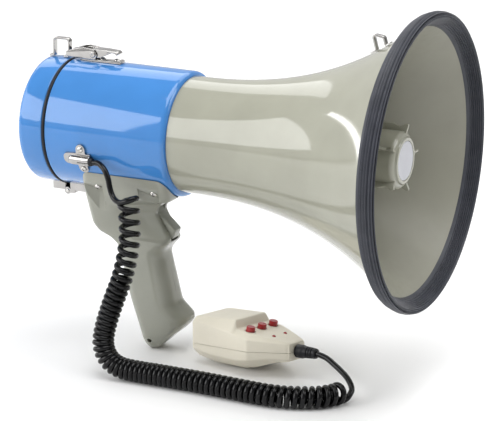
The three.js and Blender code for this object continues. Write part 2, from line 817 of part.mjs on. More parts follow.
// A round pocket for the screw's head, open to the outside, and the hole for its shank.
function screwPocket({ base, inward }) {
  const start = new THREE.Vector3(...base);
  const outside = start.clone().addScaledVector(new THREE.Vector3(...inward), -14);
  const pocket = cylinder(start.toArray(), outside.toArray(), 4.2, { segments: 12 });
  return pocket.add(screwHole(base, inward, { length: 14 }));
}

function splitGrip(body, y) {
  return body.intersect(box([-300, -190], y, [-200, -10]));
}

function buildTrigger() {
  const { pivotX, pivotZ, halfWidth, trunnionHalf } = trigger;
  const blade = sidePlate([
    [pivotX - 2.8, pivotZ],
    [pivotX - 2, pivotZ + 2.2],
    [pivotX, pivotZ + 3],
    [pivotX + 2, pivotZ + 2.2],
    [pivotX + 2.8, pivotZ],
    [-230.4, -66.8],
    [-216.4, -79.8],
    [-215.3, -82.4],
    [-218.6, -87.2],
    [-224, -88.2],
    [-236, -78],
    [-236.4, -66],
  ], [-halfWidth, halfWidth]);
  const trunnion = cylinder([pivotX, -trunnionHalf, pivotZ], [pivotX, trunnionHalf, pivotZ], 2, { segments: 12 });
  return blade.add(trunnion);
}

function buildTriggerSwitch() {
  const body = box([-252, -241], [-5, 5], [-84, -70]);
  const plunger = cylinder([-241.5, 0, -76], [-239.6, 0, -76], 1.6, { segments: 10 });
  return body.add(plunger);
}

const gripBody = buildGripBody();
place('grip_right', splitGrip(gripBody, [-50, -clearance / 2]), materials.greyPlastic);
place('grip_left', splitGrip(gripBody, [clearance / 2, 50]), materials.greyPlastic);
saddleScrews.forEach(({ base, inward }, index) => {
  const screw = panScrew(base, inward, { headRadius: 3, headHeight: 2, length: 12 });
  const lifted = screw.translate(inward.map((value) => -clearance * value));
  place(`saddle_screw_${index + 1}`, lifted, materials.chromeSteel);
});
place('trigger', buildTrigger(), materials.greyPlastic);
place('trigger_switch', buildTriggerSwitch(), materials.blackPlastic);

// ---------------------------------------------------------------- hand microphone

// Modelled along +X from its nose to its cord end, with the parting line at z = 0.
const micGroup = new THREE.Group();
micGroup.position.set(mic.x, mic.y, mic.z);
micGroup.rotation.set(
  THREE.MathUtils.degToRad(mic.roll),
  THREE.MathUtils.degToRad(mic.pitch),
  THREE.MathUtils.degToRad(mic.yaw),
  'ZYX',
);
assembly.add(micGroup);

// Half width at the parting line, height of the side wall, then half width and height of the top.
const micTopSections = [
  { u: 0, half: 21, side: 15, topHalf: 16.5, top: 19 },
  { u: 2, half: 25, side: 18.6, topHalf: 20.4, top: 21.6 },
  { u: mic.stepU, half: 26.4, side: 12.5, topHalf: 19.6, top: 22.6 },
  { u: mic.stepU + 2.4, half: 26.5, side: 12.2, topHalf: 21.5, top: 15.8 },
  { u: 56, half: 26.6, side: 9.5, topHalf: 21.5, top: 13.4 },
  { u: 71, half: 19, side: 8, topHalf: 15.5, top: 10.6 },
  { u: 84, half: 11.6, side: 6.6, topHalf: 9.6, top: 7.9 },
  { u: mic.length, half: 9.6, side: 5.4, topHalf: 8, top: 6.8 },
];

const micBottomSections = [
  { u: 0, half: 21, side: 3, topHalf: 16, top: 8 },
  { u: 2, half: 25, side: 4, topHalf: 18, top: 10.5 },
  { u: 20, half: 25.7, side: 7, topHalf: 15, top: 15 },
  { u: 45, half: 26.5, side: 8, topHalf: 12, top: 16.6 },
  { u: 56, half: 26.6, side: 7, topHalf: 12, top: 14.4 },
  { u: 71, half: 19, side: 5, topHalf: 11, top: 9.4 },
  { u: 84, half: 11.6, side: 5, topHalf: 9.6, top: 7.2 },
  { u: mic.length, half: 9.6, side: 4.4, topHalf: 8, top: 6 },
];

function micRing({ u, half, side, topHalf, top }, up, inset) {
  const z = (height) => up * Math.max(height - inset, 0.5);
  return [
    [u, -half + inset, 0],
    [u, -half + inset, z(side)],
    [u, -topHalf + inset * 0.7, z(top)],
    [u, topHalf - inset * 0.7, z(top)],
    [u, half - inset, z(side)],
    [u, half - inset, 0],
  ];
}

// One half of the microphone's case, hollow and open at the parting line.
function buildMicShell(sections, up) {
  const outside = loft(sections.map((section) => micRing(section, up, 0)));
  const inner = sections.slice(1, -1).map((section, index, list) => {
    const shift = index === 0 ? mic.wall : 0;
    const back = index === list.length - 1 ? -mic.wall : 0;
    return micRing({ ...section, u: section.u + shift + back }, up, mic.wall);
  });
  const hollow = loft(inner);
  const mouth = hollow.translate([0, 0, -up * 0.4]);
  return cut(outside, hollow, mouth);
}

// The sloping button panel runs from the foot of the step down to the cord end.
const panel = { startU: mic.stepU + 2.4, startZ: 15.8, endU: 84, endZ: 7.9 };
const panelSlope = Math.atan2(panel.startZ - panel.endZ, panel.endU - panel.startU);
const panelNormal = new THREE.Vector3(Math.sin(panelSlope), 0, Math.cos(panelSlope));

function onPanel(u, v, height) {
  const z = panel.startZ - Math.tan(panelSlope) * (u - panel.startU);
  return new THREE.Vector3(u, v, z).addScaledVector(panelNormal, height).toArray();
}

const buttonPlaces = [-1, 0, 1].map((step) => [mic.buttonU, step * mic.buttonSpacing]);
const ledPlaces = [-0.5, 0.5].map((step) => [mic.ledU, step * mic.ledSpacing]);

function buildMicTop() {
  const holes = [
    ...buttonPlaces.map(([u, v]) => cylinder(onPanel(u, v, -6), onPanel(u, v, 8), 3.9)),
    ...ledPlaces.map(([u, v]) => cylinder(onPanel(u, v, -6), onPanel(u, v, 8), 1.7, { segments: 12 })),
  ];
  return cut(buildMicShell(micTopSections, 1), ...holes).translate([0, 0, clearance / 2]);
}

function buildMicButton([u, v]) {
  const stem = cylinder(onPanel(u, v, -3.6), onPanel(u, v, 3.6), 3.5);
  const crown = cylinder(onPanel(u, v, 3.5), onPanel(u, v, 4.2), 3.5, { endRadius: 2.9 });
  return join(stem, crown);
}

function buildMicLed([u, v]) {
  const body = cylinder(onPanel(u, v, -3.4), onPanel(u, v, 0.4), 1.4, { segments: 12 });
  const dome = cylinder(onPanel(u, v, 0.3), onPanel(u, v, 1.1), 1.4, { endRadius: 0.7, segments: 12 });
  return join(body, dome);
}

function buildMicRelief() {
  const x = mic.length + clearance;
  const flange = cylinder([x, 0, 0.5], [x + 2, 0, 0.5], 5.4);
  const boot = cylinder([x + 1.8, 0, 0.5], [x + 18.6, 0, 0.5], 4.7, { endRadius: 3.9 });
  return join(flange, boot);
}

place('mic_top_shell', buildMicTop(), materials.creamPlastic, micGroup);
place('mic_bottom_shell', buildMicShell(micBottomSections, -1).translate([0, 0, -clearance / 2]),
  materials.creamPlastic, micGroup);
place('mic_capsule', cylinder([8, 0, 8], [15, 0, 8], 6), materials.zincSteel, micGroup);
place('mic_board', box([20, 66], [-14, 14], [1.2, 2.8]), materials.circuitBoard, micGroup);
buttonPlaces.forEach((spot, index) => {
  place(`mic_button_${index + 1}`, buildMicButton(spot), materials.redPlastic, micGroup);
});
ledPlaces.forEach((spot, index) => {
  place(`mic_led_${index + 1}`, buildMicLed(spot), materials.redPlastic, micGroup);
});
place('mic_strain_relief', buildMicRelief(), materials.blackRubber, micGroup);

// ---------------------------------------------------------------- curly cord

// Route of the plain lead from the gland on the body to the first turn of the coil.
const leadFromBody = [
  [-263.9, -51.5, -18.05],
  [-258.5, -52.6, -17.6],
  [-251.6, -56, -20.7],
  [-247.6, -57.4, -27],
  [-245.2, -58.6, -33.4],
  [-240.4, -60, -38.4],
  [-233.4, -60.4, -39.9],
  [-229.4, -60.5, -42.6],
];

// Route of the coil's middle, down beside the grip and then along the floor.
const coilRoute = [
  [-228.6, -60.6, -45],
  [-226.9, -61.2, -58.8],
  [-226.6, -62, -72],
  [-228.5, -63.4, -88],
  [-232.2, -65.6, -105],
  [-237, -68, -119.5],
  [-241.2, -71.2, -134.5],
  [-243.4, -75, -148],
  [-242.6, -78, -158],
  [-237.4, -79.6, -167.4],
  [-228, -80, -172.8],
  [-214, -79.4, floorZ + cord.coilRadius + 0.1],
  [-187.7, -78.8, floorZ + cord.coilRadius + 0.1],
  [-152.8, -79, floorZ + cord.coilRadius + 0.1],
  [-117.5, -80.6, floorZ + cord.coilRadius + 0.1],
  [-100, -81, floorZ + cord.coilRadius + 0.1],
  [-84.6, -78.8, floorZ + cord.coilRadius + 0.1],
  [-70.4, -73.4, floorZ + cord.coilRadius + 0.1],
  [-59.9, -67, floorZ + cord.coilRadius + 0.1],
  [-52.6, -58, floorZ + cord.coilRadius + 0.1],
  [-50.2, -51, floorZ + cord.coilRadius + 0.1],
];

// Route of the plain lead from the coil's last turn to the microphone.
const leadToMic = [
  [-44.6, -46.2, -176],
  [-44.2, -44, -174],
  [-46.9, -40.5, -170.8],
  [-52.5, -35.5, -167.7],
  [-59.7, -30.5, -165.2],
  [-67.1, -26.2, -162.9],
  [-74.7, -22.5, -160.4],
  [-83.2, -20.2, -159.2],
];

place('cord_lead_body', cordAlong(leadFromBody, cord.leadRadius, 12, 8), materials.blackRubber);
place('cord_coil', cordAlong(coilRoute, cord.coilRadius, 30, 12), materials.blackRubber);
place('cord_lead_mic', cordAlong(leadToMic, cord.leadRadius, 12, 8), materials.blackRubber);

const megaphone = new THREE.Group();
megaphone.name = 'megaphone';
megaphone.add(assembly);

export default megaphone;
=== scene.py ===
# A handheld megaphone with a hand microphone on a curly cord: its visible surfaces, materials,
# light and camera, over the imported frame.
#
# Outlines are in millimetres about the horn's axis, with +X towards the mouth, +Z up and zero in
# the middle of the mouth. HORN carries them into the row frame, which is in metres. The hand
# microphone and the cord clip have local axes of their own, MICROPHONE and CLIP.

import math

import bmesh
import bpy
from mathutils import Matrix, Vector


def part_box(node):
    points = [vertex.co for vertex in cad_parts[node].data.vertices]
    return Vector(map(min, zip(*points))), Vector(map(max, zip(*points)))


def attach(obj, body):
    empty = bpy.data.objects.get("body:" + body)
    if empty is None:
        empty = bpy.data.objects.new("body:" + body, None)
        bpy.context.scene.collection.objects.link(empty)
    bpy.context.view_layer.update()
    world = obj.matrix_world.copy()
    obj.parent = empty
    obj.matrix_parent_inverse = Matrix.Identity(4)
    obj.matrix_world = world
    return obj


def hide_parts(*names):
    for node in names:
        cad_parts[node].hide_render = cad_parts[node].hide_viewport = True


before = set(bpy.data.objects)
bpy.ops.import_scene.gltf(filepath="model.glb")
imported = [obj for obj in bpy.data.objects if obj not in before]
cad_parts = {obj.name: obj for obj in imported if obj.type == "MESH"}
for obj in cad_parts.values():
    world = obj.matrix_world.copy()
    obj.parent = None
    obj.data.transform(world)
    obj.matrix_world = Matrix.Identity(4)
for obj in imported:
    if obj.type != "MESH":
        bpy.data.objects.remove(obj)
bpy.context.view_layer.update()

# ---------------------------------------------------------------- axes and driving sizes

rim_low, rim_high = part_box("rim_bumper")
mouth_centre = Vector((rim_high.x, 0, (rim_low.z + rim_high.z) / 2))
HORN = Matrix.Translation(mouth_centre) @ Matrix.Scale(0.001, 4)


def in_horn(point):
    """A row-frame point, in millimetres about the horn's axis."""
    return HORN.inverted() @ point


def span(node):
    """The lowest and highest corner of a CAD node, in millimetres about the horn's axis."""
    low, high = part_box(node)
    return in_horn(low), in_horn(high)


clip_angle = math.radians(19.3)
CLIP = HORN @ Matrix.Rotation(clip_angle, 4, "X")

microphone_nose = Vector((-187.5, 0.2, -168.1))
microphone_turn = (
    Matrix.Rotation(math.radians(-10.95), 4, "Z")
    @ Matrix.Rotation(math.radians(-4.63), 4, "Y")
    @ Matrix.Rotation(math.radians(-6.23), 4, "X")
)
MICROPHONE = HORN @ Matrix.Translation(microphone_nose) @ microphone_turn

shell_low, shell_high = span("body_shell")
cap_low, cap_high = span("rear_cap")
gasket_low, gasket_high = span("cap_gasket")
body_radius = cap_high.z
bell_neck_radius = 46.3
bell_wall = 2.4

# Half the gap between the microphone's case halves, and between the mouldings of the grip.
half_gap = 0.15
parting_half_gap = 0.05

# ---------------------------------------------------------------- camera


def direction(azimuth, elevation):
    """A unit vector. Azimuth 0 points to the front, at -Y, and -90 behind the cover, at -X."""
    turn, lift = math.radians(azimuth), math.radians(elevation)
    flat = math.cos(lift)
    return Vector((math.sin(turn) * flat, -math.cos(turn) * flat, math.sin(lift)))


def make_camera(azimuth, elevation, distance, lens, target):
    back = direction(azimuth, elevation)
    data = bpy.data.cameras.new("camera")
    data.lens = lens
    data.sensor_width = 36
    camera = bpy.data.objects.new("camera", data)
    camera.location = HORN @ Vector(target) + back * distance
    camera.rotation_euler = back.to_track_quat("Z", "Y").to_euler()
    bpy.context.scene.collection.objects.link(camera)
    bpy.context.scene.camera = camera


make_camera(azimuth=25.8, elevation=16.65, distance=1.82, lens=166.3, target=(-152.2, 0, -56.3))

# ---------------------------------------------------------------- materials


def shade(red, green, blue):
    """A colour given as 0 to 255 display values, as the linear values that a shader takes."""
    linear = [((value / 255 + 0.055) / 1.055) ** 2.4 for value in (red, green, blue)]
    return (*linear, 1)


def set_range(node, start, end, low, high):
    """Makes a Map Range node move the range start..end to low..high."""
    for name, value in zip(("From Min", "From Max", "To Min", "To Max"), (start, end, low, high)):
        node.inputs[name].default_value = value


class Finish:
    """A Principled material whose colour, roughness and height follow noise on the object."""

    def __init__(self, name, metallic=0.0, coat=0.0):
        self.material = bpy.data.materials.new(name)
        self.material.use_nodes = True
        self.tree = self.material.node_tree
        self.shader = self.tree.nodes["Principled BSDF"]
        self.shader.inputs["Metallic"].default_value = metallic
        self.shader.inputs["Coat Weight"].default_value = coat
        self.shader.inputs["Coat Roughness"].default_value = 0.08
        self.normal = None

    def add(self, kind, **sockets):
        node = self.tree.nodes.new(kind)
        for name, value in sockets.items():
            socket = node.inputs[name.replace("_", " ")]
            if isinstance(value, bpy.types.NodeSocket):
                self.tree.links.new(value, socket)
            else:
                socket.default_value = value
        return node

    def noise(self, size, detail=3.0, stretch=(1, 1, 1)):
        """Noise whose grain is about `size` metres, drawn out along an axis by `stretch`."""
        place = self.add("ShaderNodeTexCoord").outputs["Object"]
        scale = [1 / (size * factor) for factor in stretch]
        mapped = self.add("ShaderNodeMapping", Vector=place, Scale=scale).outputs["Vector"]
        return self.add("ShaderNodeTexNoise", Vector=mapped, Scale=1.0, Detail=detail).outputs["Fac"]

    def spread(self, value, low, high, start=0.35, end=0.65):
        """The value, moved from the range start..end to the range low..high."""
        node = self.add("ShaderNodeMapRange", Value=value)
        set_range(node, start, end, low, high)
        return node.outputs["Result"]

    def colour(self, value, first, second):
        mix = self.tree.nodes.new("ShaderNodeMix")
        mix.data_type = "RGBA"
        colours = [socket for socket in mix.inputs if socket.type == "RGBA"]
        colours[0].default_value = first
        colours[1].default_value = second
        self.tree.links.new(self.spread(value, 0, 1), mix.inputs["Factor"])
        result = [socket for socket in mix.outputs if socket.type == "RGBA"][0]
        self.tree.links.new(result, self.shader.inputs["Base Color"])

    def roughness(self, value, low, high):
        self.tree.links.new(self.spread(value, low, high), self.shader.inputs["Roughness"])

    def height(self, value, depth, strength=0.5):
        """A bump of about `depth` metres, on top of the bumps added before it."""
        node = self.add("ShaderNodeBump", Height=value, Distance=depth, Strength=strength)
        if self.normal:
            self.tree.links.new(self.normal, node.inputs["Normal"])
        self.normal = node.outputs["Normal"]
        self.tree.links.new(self.normal, self.shader.inputs["Normal"])


def darker(colour, factor):
    return (*[channel * factor for channel in colour[:3]], 1)


def moulded_plastic(name, colour, roughness, grain, grain_depth, coat):
    """Moulded plastic: slight shifts of colour, a fine grain, and faint long scuffs."""
    finish = Finish(name, coat=coat)
    finish.colour(finish.noise(0.035, detail=5), darker(colour, 0.955), darker(colour, 1.03))
    finish.roughness(finish.noise(0.006, detail=6), roughness * 0.88, roughness * 1.15)
    finish.height(finish.noise(grain, detail=2), grain_depth)
    finish.height(finish.noise(0.0012, detail=4, stretch=(14, 1, 2)), grain_depth * 0.3, strength=0.3)
    return finish.material


def rubber(name, colour, roughness, bloom):
    """Rubber: a dusty bloom in soft patches over a fine pebbled skin."""
    finish = Finish(name)
    finish.shader.inputs["Specular IOR Level"].default_value = 0.3
    finish.colour(finish.noise(0.012, detail=6), colour, darker(colour, bloom))
    finish.roughness(finish.noise(0.003, detail=5), roughness * 0.85, roughness * 1.2)
    finish.height(finish.noise(0.0006, detail=3), 0.00002, strength=0.3)
    return finish.material


def metal(name, colour, roughness, stretch):
    """Metal: fine brushed or rolled lines, and smudges that dull the shine."""
    finish = Finish(name, metallic=1.0)
    finish.colour(finish.noise(0.009, detail=4), darker(colour, 0.9), colour)
    finish.roughness(finish.noise(0.002, detail=6), roughness * 0.6, roughness * 1.6)
    finish.height(finish.noise(0.0005, detail=3, stretch=stretch), 0.00001)
    return finish.material


# Colour, roughness, the size and depth of the grain in metres, and the clear coat.
plastics = {
    # The bell's inside: the horn plastic made duller, and darker as painted shade for the inside of the
    # bell.
    "horn_inside": ((150, 149, 136), 0.42, 0.004, 0.00001, 0),
    "horn_plastic": ((159, 159, 145), 0.07, 0.006, 0.000006, 0.3),
    "grip_plastic": ((150, 151, 140), 0.22, 0.002, 0.00002, 0.2),
    "blue_plastic": ((66, 130, 198), 0.07, 0.006, 0.000006, 0.3),
    "mic_plastic": ((231, 225, 208), 0.45, 0.0007, 0.00004, 0),
    "black_plastic": ((38, 39, 42), 0.45, 0.001, 0.00003, 0),
    "button_red": ((158, 6, 18), 0.3, 0.003, 0.00002, 0.3),
    "led_red": ((150, 8, 18), 0.15, 0.003, 0.00001, 0.5),
    "label_white": ((194, 195, 201), 0.4, 0.0009, 0.00001, 0),
    "battery_jacket": ((70, 76, 84), 0.35, 0.002, 0.00001, 0.3),
    "circuit_board": ((34, 104, 60), 0.4, 0.0008, 0.00003, 0),
    "diaphragm_film": ((186, 134, 76), 0.4, 0.001, 0.00002, 0),
}

# Colour, roughness, and how much paler the bloom is.
rubbers = {
    "rim_rubber": ((68, 70, 77), 0.4, 1.25),
    "black_rubber": ((30, 31, 34), 0.42, 1.4),
    "cord_rubber": ((5, 5, 7), 0.2, 1.3),
    "ferrite": ((58, 58, 60), 0.75, 1.3),
}

# Colour, roughness, and how the brushed lines are drawn out along each axis.
metals = {
    "chrome_hardware": ((184, 182, 180), 0.1, (1, 1, 1)),
    "screw_steel": ((214, 212, 208), 0.16, (1, 1, 1)),
    "driver_steel": ((176, 178, 180), 0.35, (1, 6, 1)),
    "heat_sink_aluminium": ((192, 194, 198), 0.32, (1, 1, 12)),
}

finishes = {}
for make_finish, table in ((moulded_plastic, plastics), (rubber, rubbers), (metal, metals)):
    for name, (colour, *values) in table.items():
        finishes[name] = make_finish(name, shade(*colour), *values)

# ---------------------------------------------------------------- outlines and lines


def rounded(corners, closed=True, steps=5):
    """The outline through (a, b, radius) corners, with an arc at each corner that has a radius."""
    outline = []
    for index, (a, b, *given) in enumerate(corners):
        corner = Vector((a, b))
        is_end = not closed and index in (0, len(corners) - 1)
        if not given or is_end:
            outline.append(corner)
            continue
        to_before = (Vector(corners[index - 1][:2]) - corner).normalized()
        to_after = (Vector(corners[(index + 1) % len(corners)][:2]) - corner).normalized()
        half = to_before.angle(to_after) / 2
        centre = corner + (to_before + to_after).normalized() * (given[0] / math.sin(half))
        first = corner + to_before * (given[0] / math.tan(half)) - centre
        last = corner + to_after * (given[0] / math.tan(half)) - centre
        start = math.atan2(first.y, first.x)
        sweep = (math.atan2(last.y, last.x) - start + math.pi) % (2 * math.pi) - math.pi
        for step in range(steps + 1):
            angle = start + sweep * step / steps
            outline.append(centre + given[0] * Vector((math.cos(angle), math.sin(angle))))
    return outline


def profile(corners, steps=5):
    """An outline that stays open between its last corner and its first."""
    return rounded(corners, closed=False, steps=steps)


def smooth_line(points, steps):
    """A Catmull-Rom curve through the points, with `steps` pieces between each two."""
    route = [2 * points[0] - points[1], *points, 2 * points[-1] - points[-2]]
    line = []
    for before, start, end, after in zip(route, route[1:], route[2:], route[3:]):
        for step in range(steps):
            t = step / steps
            slope = (end - before) * t
            bend = (2 * before - 5 * start + 4 * end - after) * t**2
            twist = (3 * start - before - 3 * end + after) * t**3
            line.append((2 * start + slope + bend + twist) / 2)
    line.append(points[-1])
    return line


def evenly(line, spacing):
    """Points at equal distances along a line."""
    total = sum((end - start).length for start, end in zip(line, line[1:]))
    count = max(1, round(total / spacing))
    points = [line[0]]
    travelled = 0.0
    for start, end in zip(line, line[1:]):
        length = (end - start).length
        while len(points) < count and travelled + length >= total * len(points) / count:
            share = (total * len(points) / count - travelled) / length
            points.append(start.lerp(end, share))
        travelled += length
    points.append(line[-1])
    return points


def circle(radius, count):
    return [
        Vector((radius * math.cos(2 * math.pi * i / count), radius * math.sin(2 * math.pi * i / count)))
        for i in range(count)
    ]


# ---------------------------------------------------------------- meshes


def shade_smooth(piece, sharp_angle=38):
    piece.data.polygons.foreach_set("use_smooth", [True] * len(piece.data.polygons))
    piece.data.set_sharp_from_angle(angle=math.radians(sharp_angle))


def as_piece(name, mesh, axes):
    """A Blender object in the row frame from a bmesh in the given axes."""
    bmesh.ops.remove_doubles(mesh, verts=mesh.verts, dist=1e-6)
    bmesh.ops.recalc_face_normals(mesh, faces=mesh.faces)
    data = bpy.data.meshes.new(name)
    mesh.to_mesh(data)
    mesh.free()
    data.transform(axes)
    piece = bpy.data.objects.new(name, data)
    bpy.context.scene.collection.objects.link(piece)
    shade_smooth(piece)
    return piece


def bridge(mesh, ring, following):
    """Faces between two closed rings of vertices, where either may be a single point."""
    count = max(len(ring), len(following))
    for i in range(count):
        corners = [
            ring[i % len(ring)],
            ring[(i + 1) % len(ring)],
            following[(i + 1) % len(following)],
            following[i % len(following)],
        ]
        corners = list(dict.fromkeys(corners))
        if len(corners) > 2:
            mesh.faces.new(corners)


def lathe(name, outline, segments=96, axes=HORN):
    """A solid turned about the X axis. An outline that doesn't start on the axis closes on itself."""
    mesh = bmesh.new()
    rings = []
    for x, radius in outline:
        if radius < 1e-6:
            rings.append([mesh.verts.new((x, 0, 0))])
        else:
            rings.append([mesh.verts.new((x, *point)) for point in circle(radius, segments)])
    if outline[0][1] > 1e-6:
        rings.append(rings[0])
    for ring, following in zip(rings, rings[1:]):
        bridge(mesh, ring, following)
    return as_piece(name, mesh, axes)


def plate(name, outline, low, high, axes=HORN):
    """A plate with a side-view outline of (x, z) points, between two Y planes."""
    mesh = bmesh.new()
    sides = [[mesh.verts.new((x, y, z)) for x, z in outline] for y in (low, high)]
    for side in sides:
        mesh.faces.new(side)
    bridge(mesh, *sides)
    return as_piece(name, mesh, axes)


def slab(name, outline, low, high):
    """A plate with a top-view outline of (x, y) points, between two Z planes."""
    mesh = bmesh.new()
    sides = [[mesh.verts.new((x, y, z)) for x, y in outline] for z in (low, high)]
    for side in sides:
        mesh.faces.new(side)
    bridge(mesh, *sides)
    return as_piece(name, mesh, HORN)


def loft(name, rings, axes=HORN):
    """A closed body through rings of points, with a flat face at each end."""
    mesh = bmesh.new()
    rows = [[mesh.verts.new(point) for point in ring] for ring in rings]
    for row, following in zip(rows, rows[1:]):
        bridge(mesh, row, following)
    mesh.faces.new(rows[0])
    mesh.faces.new(rows[-1])
    return as_piece(name, mesh, axes)


def pointing(start, direction, axes=HORN):
    """Axes whose X runs along `direction` from `start`."""
    turn = Vector(direction).normalized().to_track_quat("X", "Z").to_matrix().to_4x4()
    return axes @ Matrix.Translation(start) @ turn


def rod(name, start, end, radius, axes=HORN, edge=0.2, segments=32):
    """A round bar between two points, with rounded edges."""
    direction = Vector(end) - Vector(start)
    outline = rounded([(0, 0), (0, radius, edge), (direction.length, radius, edge), (direction.length, 0)])
    return lathe(name, outline, segments, pointing(start, direction, axes))


def apply_modifiers(piece):
    depsgraph = bpy.context.evaluated_depsgraph_get()
    made = bpy.data.meshes.new_from_object(piece.evaluated_get(depsgraph))
    piece.modifiers.clear()
    worn = piece.data
    piece.data = made
    bpy.data.meshes.remove(worn)


def combine(piece, operation, *tools):
    """The piece joined to the tools, or cut by them. The tools are used up."""
    for tool in tools:
        modifier = piece.modifiers.new("combine", "BOOLEAN")
        modifier.operation = operation
        modifier.solver = "EXACT"
        modifier.object = tool
        apply_modifiers(piece)
        bpy.data.objects.remove(tool)
    shade_smooth(piece)
    return piece


def cut(piece, *tools):
    return combine(piece, "DIFFERENCE", *tools)


def join(piece, *tools):
    return combine(piece, "UNION", *tools)


def soften(piece, width, segments=3, angle=35):
    """Rounds every edge sharper than `angle`, by `width` millimetres."""
    modifier = piece.modifiers.new("edges", "BEVEL")
    modifier.width = width / 1000
    modifier.segments = segments
    modifier.limit_method = "ANGLE"
    modifier.angle_limit = math.radians(angle)
    modifier.use_clamp_overlap = True
    apply_modifiers(piece)
    shade_smooth(piece, 50)
    return piece


def install(piece, slot, *nodes, body="megaphone"):
    """Gives the piece its finish and its body, and lets it stand for the CAD nodes."""
    piece.data.materials.clear()
    piece.data.materials.append(finishes[slot])
    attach(piece, body)
    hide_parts(*nodes)
    return piece


# ---------------------------------------------------------------- curly cord

cord_diameter = 0.0046
coil_radius = 0.0066

# Row-frame metres, from the gland on the body to the first turn.
lead_from_body = [
    (-0.0279, -0.0515, 0.11195),
    (-0.0225, -0.0526, 0.1124),
    (-0.0156, -0.056, 0.1093),
    (-0.0116, -0.0574, 0.103),
    (-0.0092, -0.0588, 0.0955),
    (-0.0064, -0.06, 0.09),
    (-0.002, -0.0624, 0.0872),
    (0.0032, -0.065, 0.087),
    (0.009, -0.066, 0.0888),
    (0.0128, -0.0642, 0.0904),
]

# The middle of the coil, down beside the grip and then along the floor.
coil_route = [
    (0.0078, -0.0606, 0.0905), (0.0091, -0.0612, 0.0712), (0.0094, -0.062, 0.058),
    (0.0075, -0.0634, 0.042), (0.0038, -0.0656, 0.025), (-0.001, -0.068, 0.0105),
    (-0.0052, -0.0712, -0.0045), (-0.0074, -0.075, -0.018), (-0.0066, -0.078, -0.028),
    (-0.0014, -0.0796, -0.0374), (0.008, -0.08, -0.0428), (0.022, -0.0794, -0.0443),
    (0.0483, -0.0788, -0.0443), (0.0832, -0.079, -0.0443), (0.1185, -0.0806, -0.0443),
    (0.136, -0.081, -0.0443), (0.1514, -0.0788, -0.0443), (0.1656, -0.0734, -0.0443),
    (0.1761, -0.067, -0.0443), (0.1834, -0.058, -0.0443), (0.1858, -0.051, -0.0443),
]

# From the last turn to the strain relief on the microphone.
lead_to_microphone = [
    (0.189, -0.0513, -0.0503), (0.1911, -0.05, -0.0482), (0.1918, -0.047, -0.046),
    (0.1918, -0.044, -0.044), (0.1891, -0.0405, -0.0408), (0.1835, -0.0355, -0.0377),
    (0.1763, -0.0305, -0.0352), (0.1689, -0.0262, -0.0329), (0.1613, -0.0225, -0.0304),
    (0.1528, -0.0202, -0.0292), (0.147, -0.0189, -0.0295),
]

# Distance between turns, in metres, at shares of the way along the coil.
coil_pitch = [
    (0, 0.0104), (0.05, 0.009), (0.14, 0.0078), (0.18, 0.0062), (0.22, 0.0051), (0.27, 0.0046),
    (0.34, 0.0041), (0.43, 0.0041), (0.56, 0.0042), (0.62, 0.0047), (0.75, 0.0049), (1, 0.0058),
]


def pitch_at(share):
    for (start, first), (end, second) in zip(coil_pitch, coil_pitch[1:]):
        if share <= end:
            return first + (second - first) * (share - start) / (end - start)
    return coil_pitch[-1][1]


def coil_turns():
    """The cord's centre line round the coil: whole turns less a half, to end at the bottom."""
    middle = evenly(smooth_line([Vector(point) for point in coil_route], 24), 0.0002)
    step = (middle[1] - middle[0]).length
    angles = [0.0]
    for index in range(1, len(middle)):
        angles.append(angles[-1] + 2 * math.pi * step / pitch_at(index / (len(middle) - 1)))
    turns = math.floor(angles[-1] / (2 * math.pi)) - 0.5
    fit = turns * 2 * math.pi / angles[-1]
    across = Vector((1, 0, 0))
    line = []
    for index, centre in enumerate(middle):
        ahead = middle[min(index + 1, len(middle) - 1)] - middle[max(index - 1, 0)]
        ahead.normalize()
        across = (across - ahead * across.dot(ahead)).normalized()
        over = ahead.cross(across)
        angle = angles[index] * fit
        line.append(centre + coil_radius * (across * math.cos(angle) - over * math.sin(angle)))
    return line


def make_cord():
    lead = smooth_line([Vector(point) for point in lead_from_body], 8)
    end = smooth_line([Vector(point) for point in lead_to_microphone], 8)
    line = evenly([*lead, *coil_turns(), *end], 0.0019)
    data = bpy.data.curves.new("cord", "CURVE")
    data.dimensions = "3D"
    data.bevel_depth = cord_diameter / 2
    data.bevel_resolution = 4
    data.use_fill_caps = True
    spline = data.splines.new("POLY")
    spline.points.add(len(line) - 1)
    for point, place in zip(spline.points, line):
        point.co = (*place, 1)
    spline.use_smooth = True
    piece = bpy.data.objects.new("cord", data)
    bpy.context.scene.collection.objects.link(piece)
    return install(piece, "cord_rubber", "cord_lead_body", "cord_coil", "cord_lead_mic")


cord = make_cord()

# ---------------------------------------------------------------- horn


def bell_radius(x):
    """The bell's outer radius, a straight neck that flares ever faster towards the mouth."""
    along = max(0, (x + 205) / 191)
    return bell_neck_radius + 58.2 * along**2.5


def bell_inner_radius(x):
    slope = bell_radius(x + 0.5) - bell_radius(x - 0.5)
    return bell_radius(x) - bell_wall * math.hypot(1, slope)


def bell_stations(last):
    """Places along the flare, from the neck to `last`."""
    neck, count = -190, 60
    return [neck + (last - neck) * i / count for i in range(count + 1)]


def make_bell():
    bell_low, bell_high = span("horn_bell")
    stations = bell_stations(bell_high.x)
    floor = bell_low.x + 2.5
    outline = [(bell_low.x, 24), (bell_low.x, bell_neck_radius)]
    outline += [(x, bell_radius(x)) for x in stations]
    outline += [(x, bell_inner_radius(x)) for x in reversed(stations)]
    outline += [(floor, bell_neck_radius - bell_wall), (floor, 24)]
    install(lathe("bell", outline, 160), "horn_plastic", "horn_bell")


def make_bell_lining():
    """The dull inner skin of the bell, just inside its wall, in a darker copy of its plastic: painted
    shade for the inside of the bell.
    """
    stations = bell_stations(-8.2)
    outline = [(x, bell_inner_radius(x) - 0.05) for x in stations]
    outline += [(x, bell_inner_radius(x) - 0.25) for x in reversed(stations)]
    lining = install(lathe("bell_lining", outline, 160), "horn_plastic", "horn_bell")
    # A darker copy of the horn plastic: painted shade for the inside of the bell.
    lining.data.materials[0] = finishes["horn_inside"]


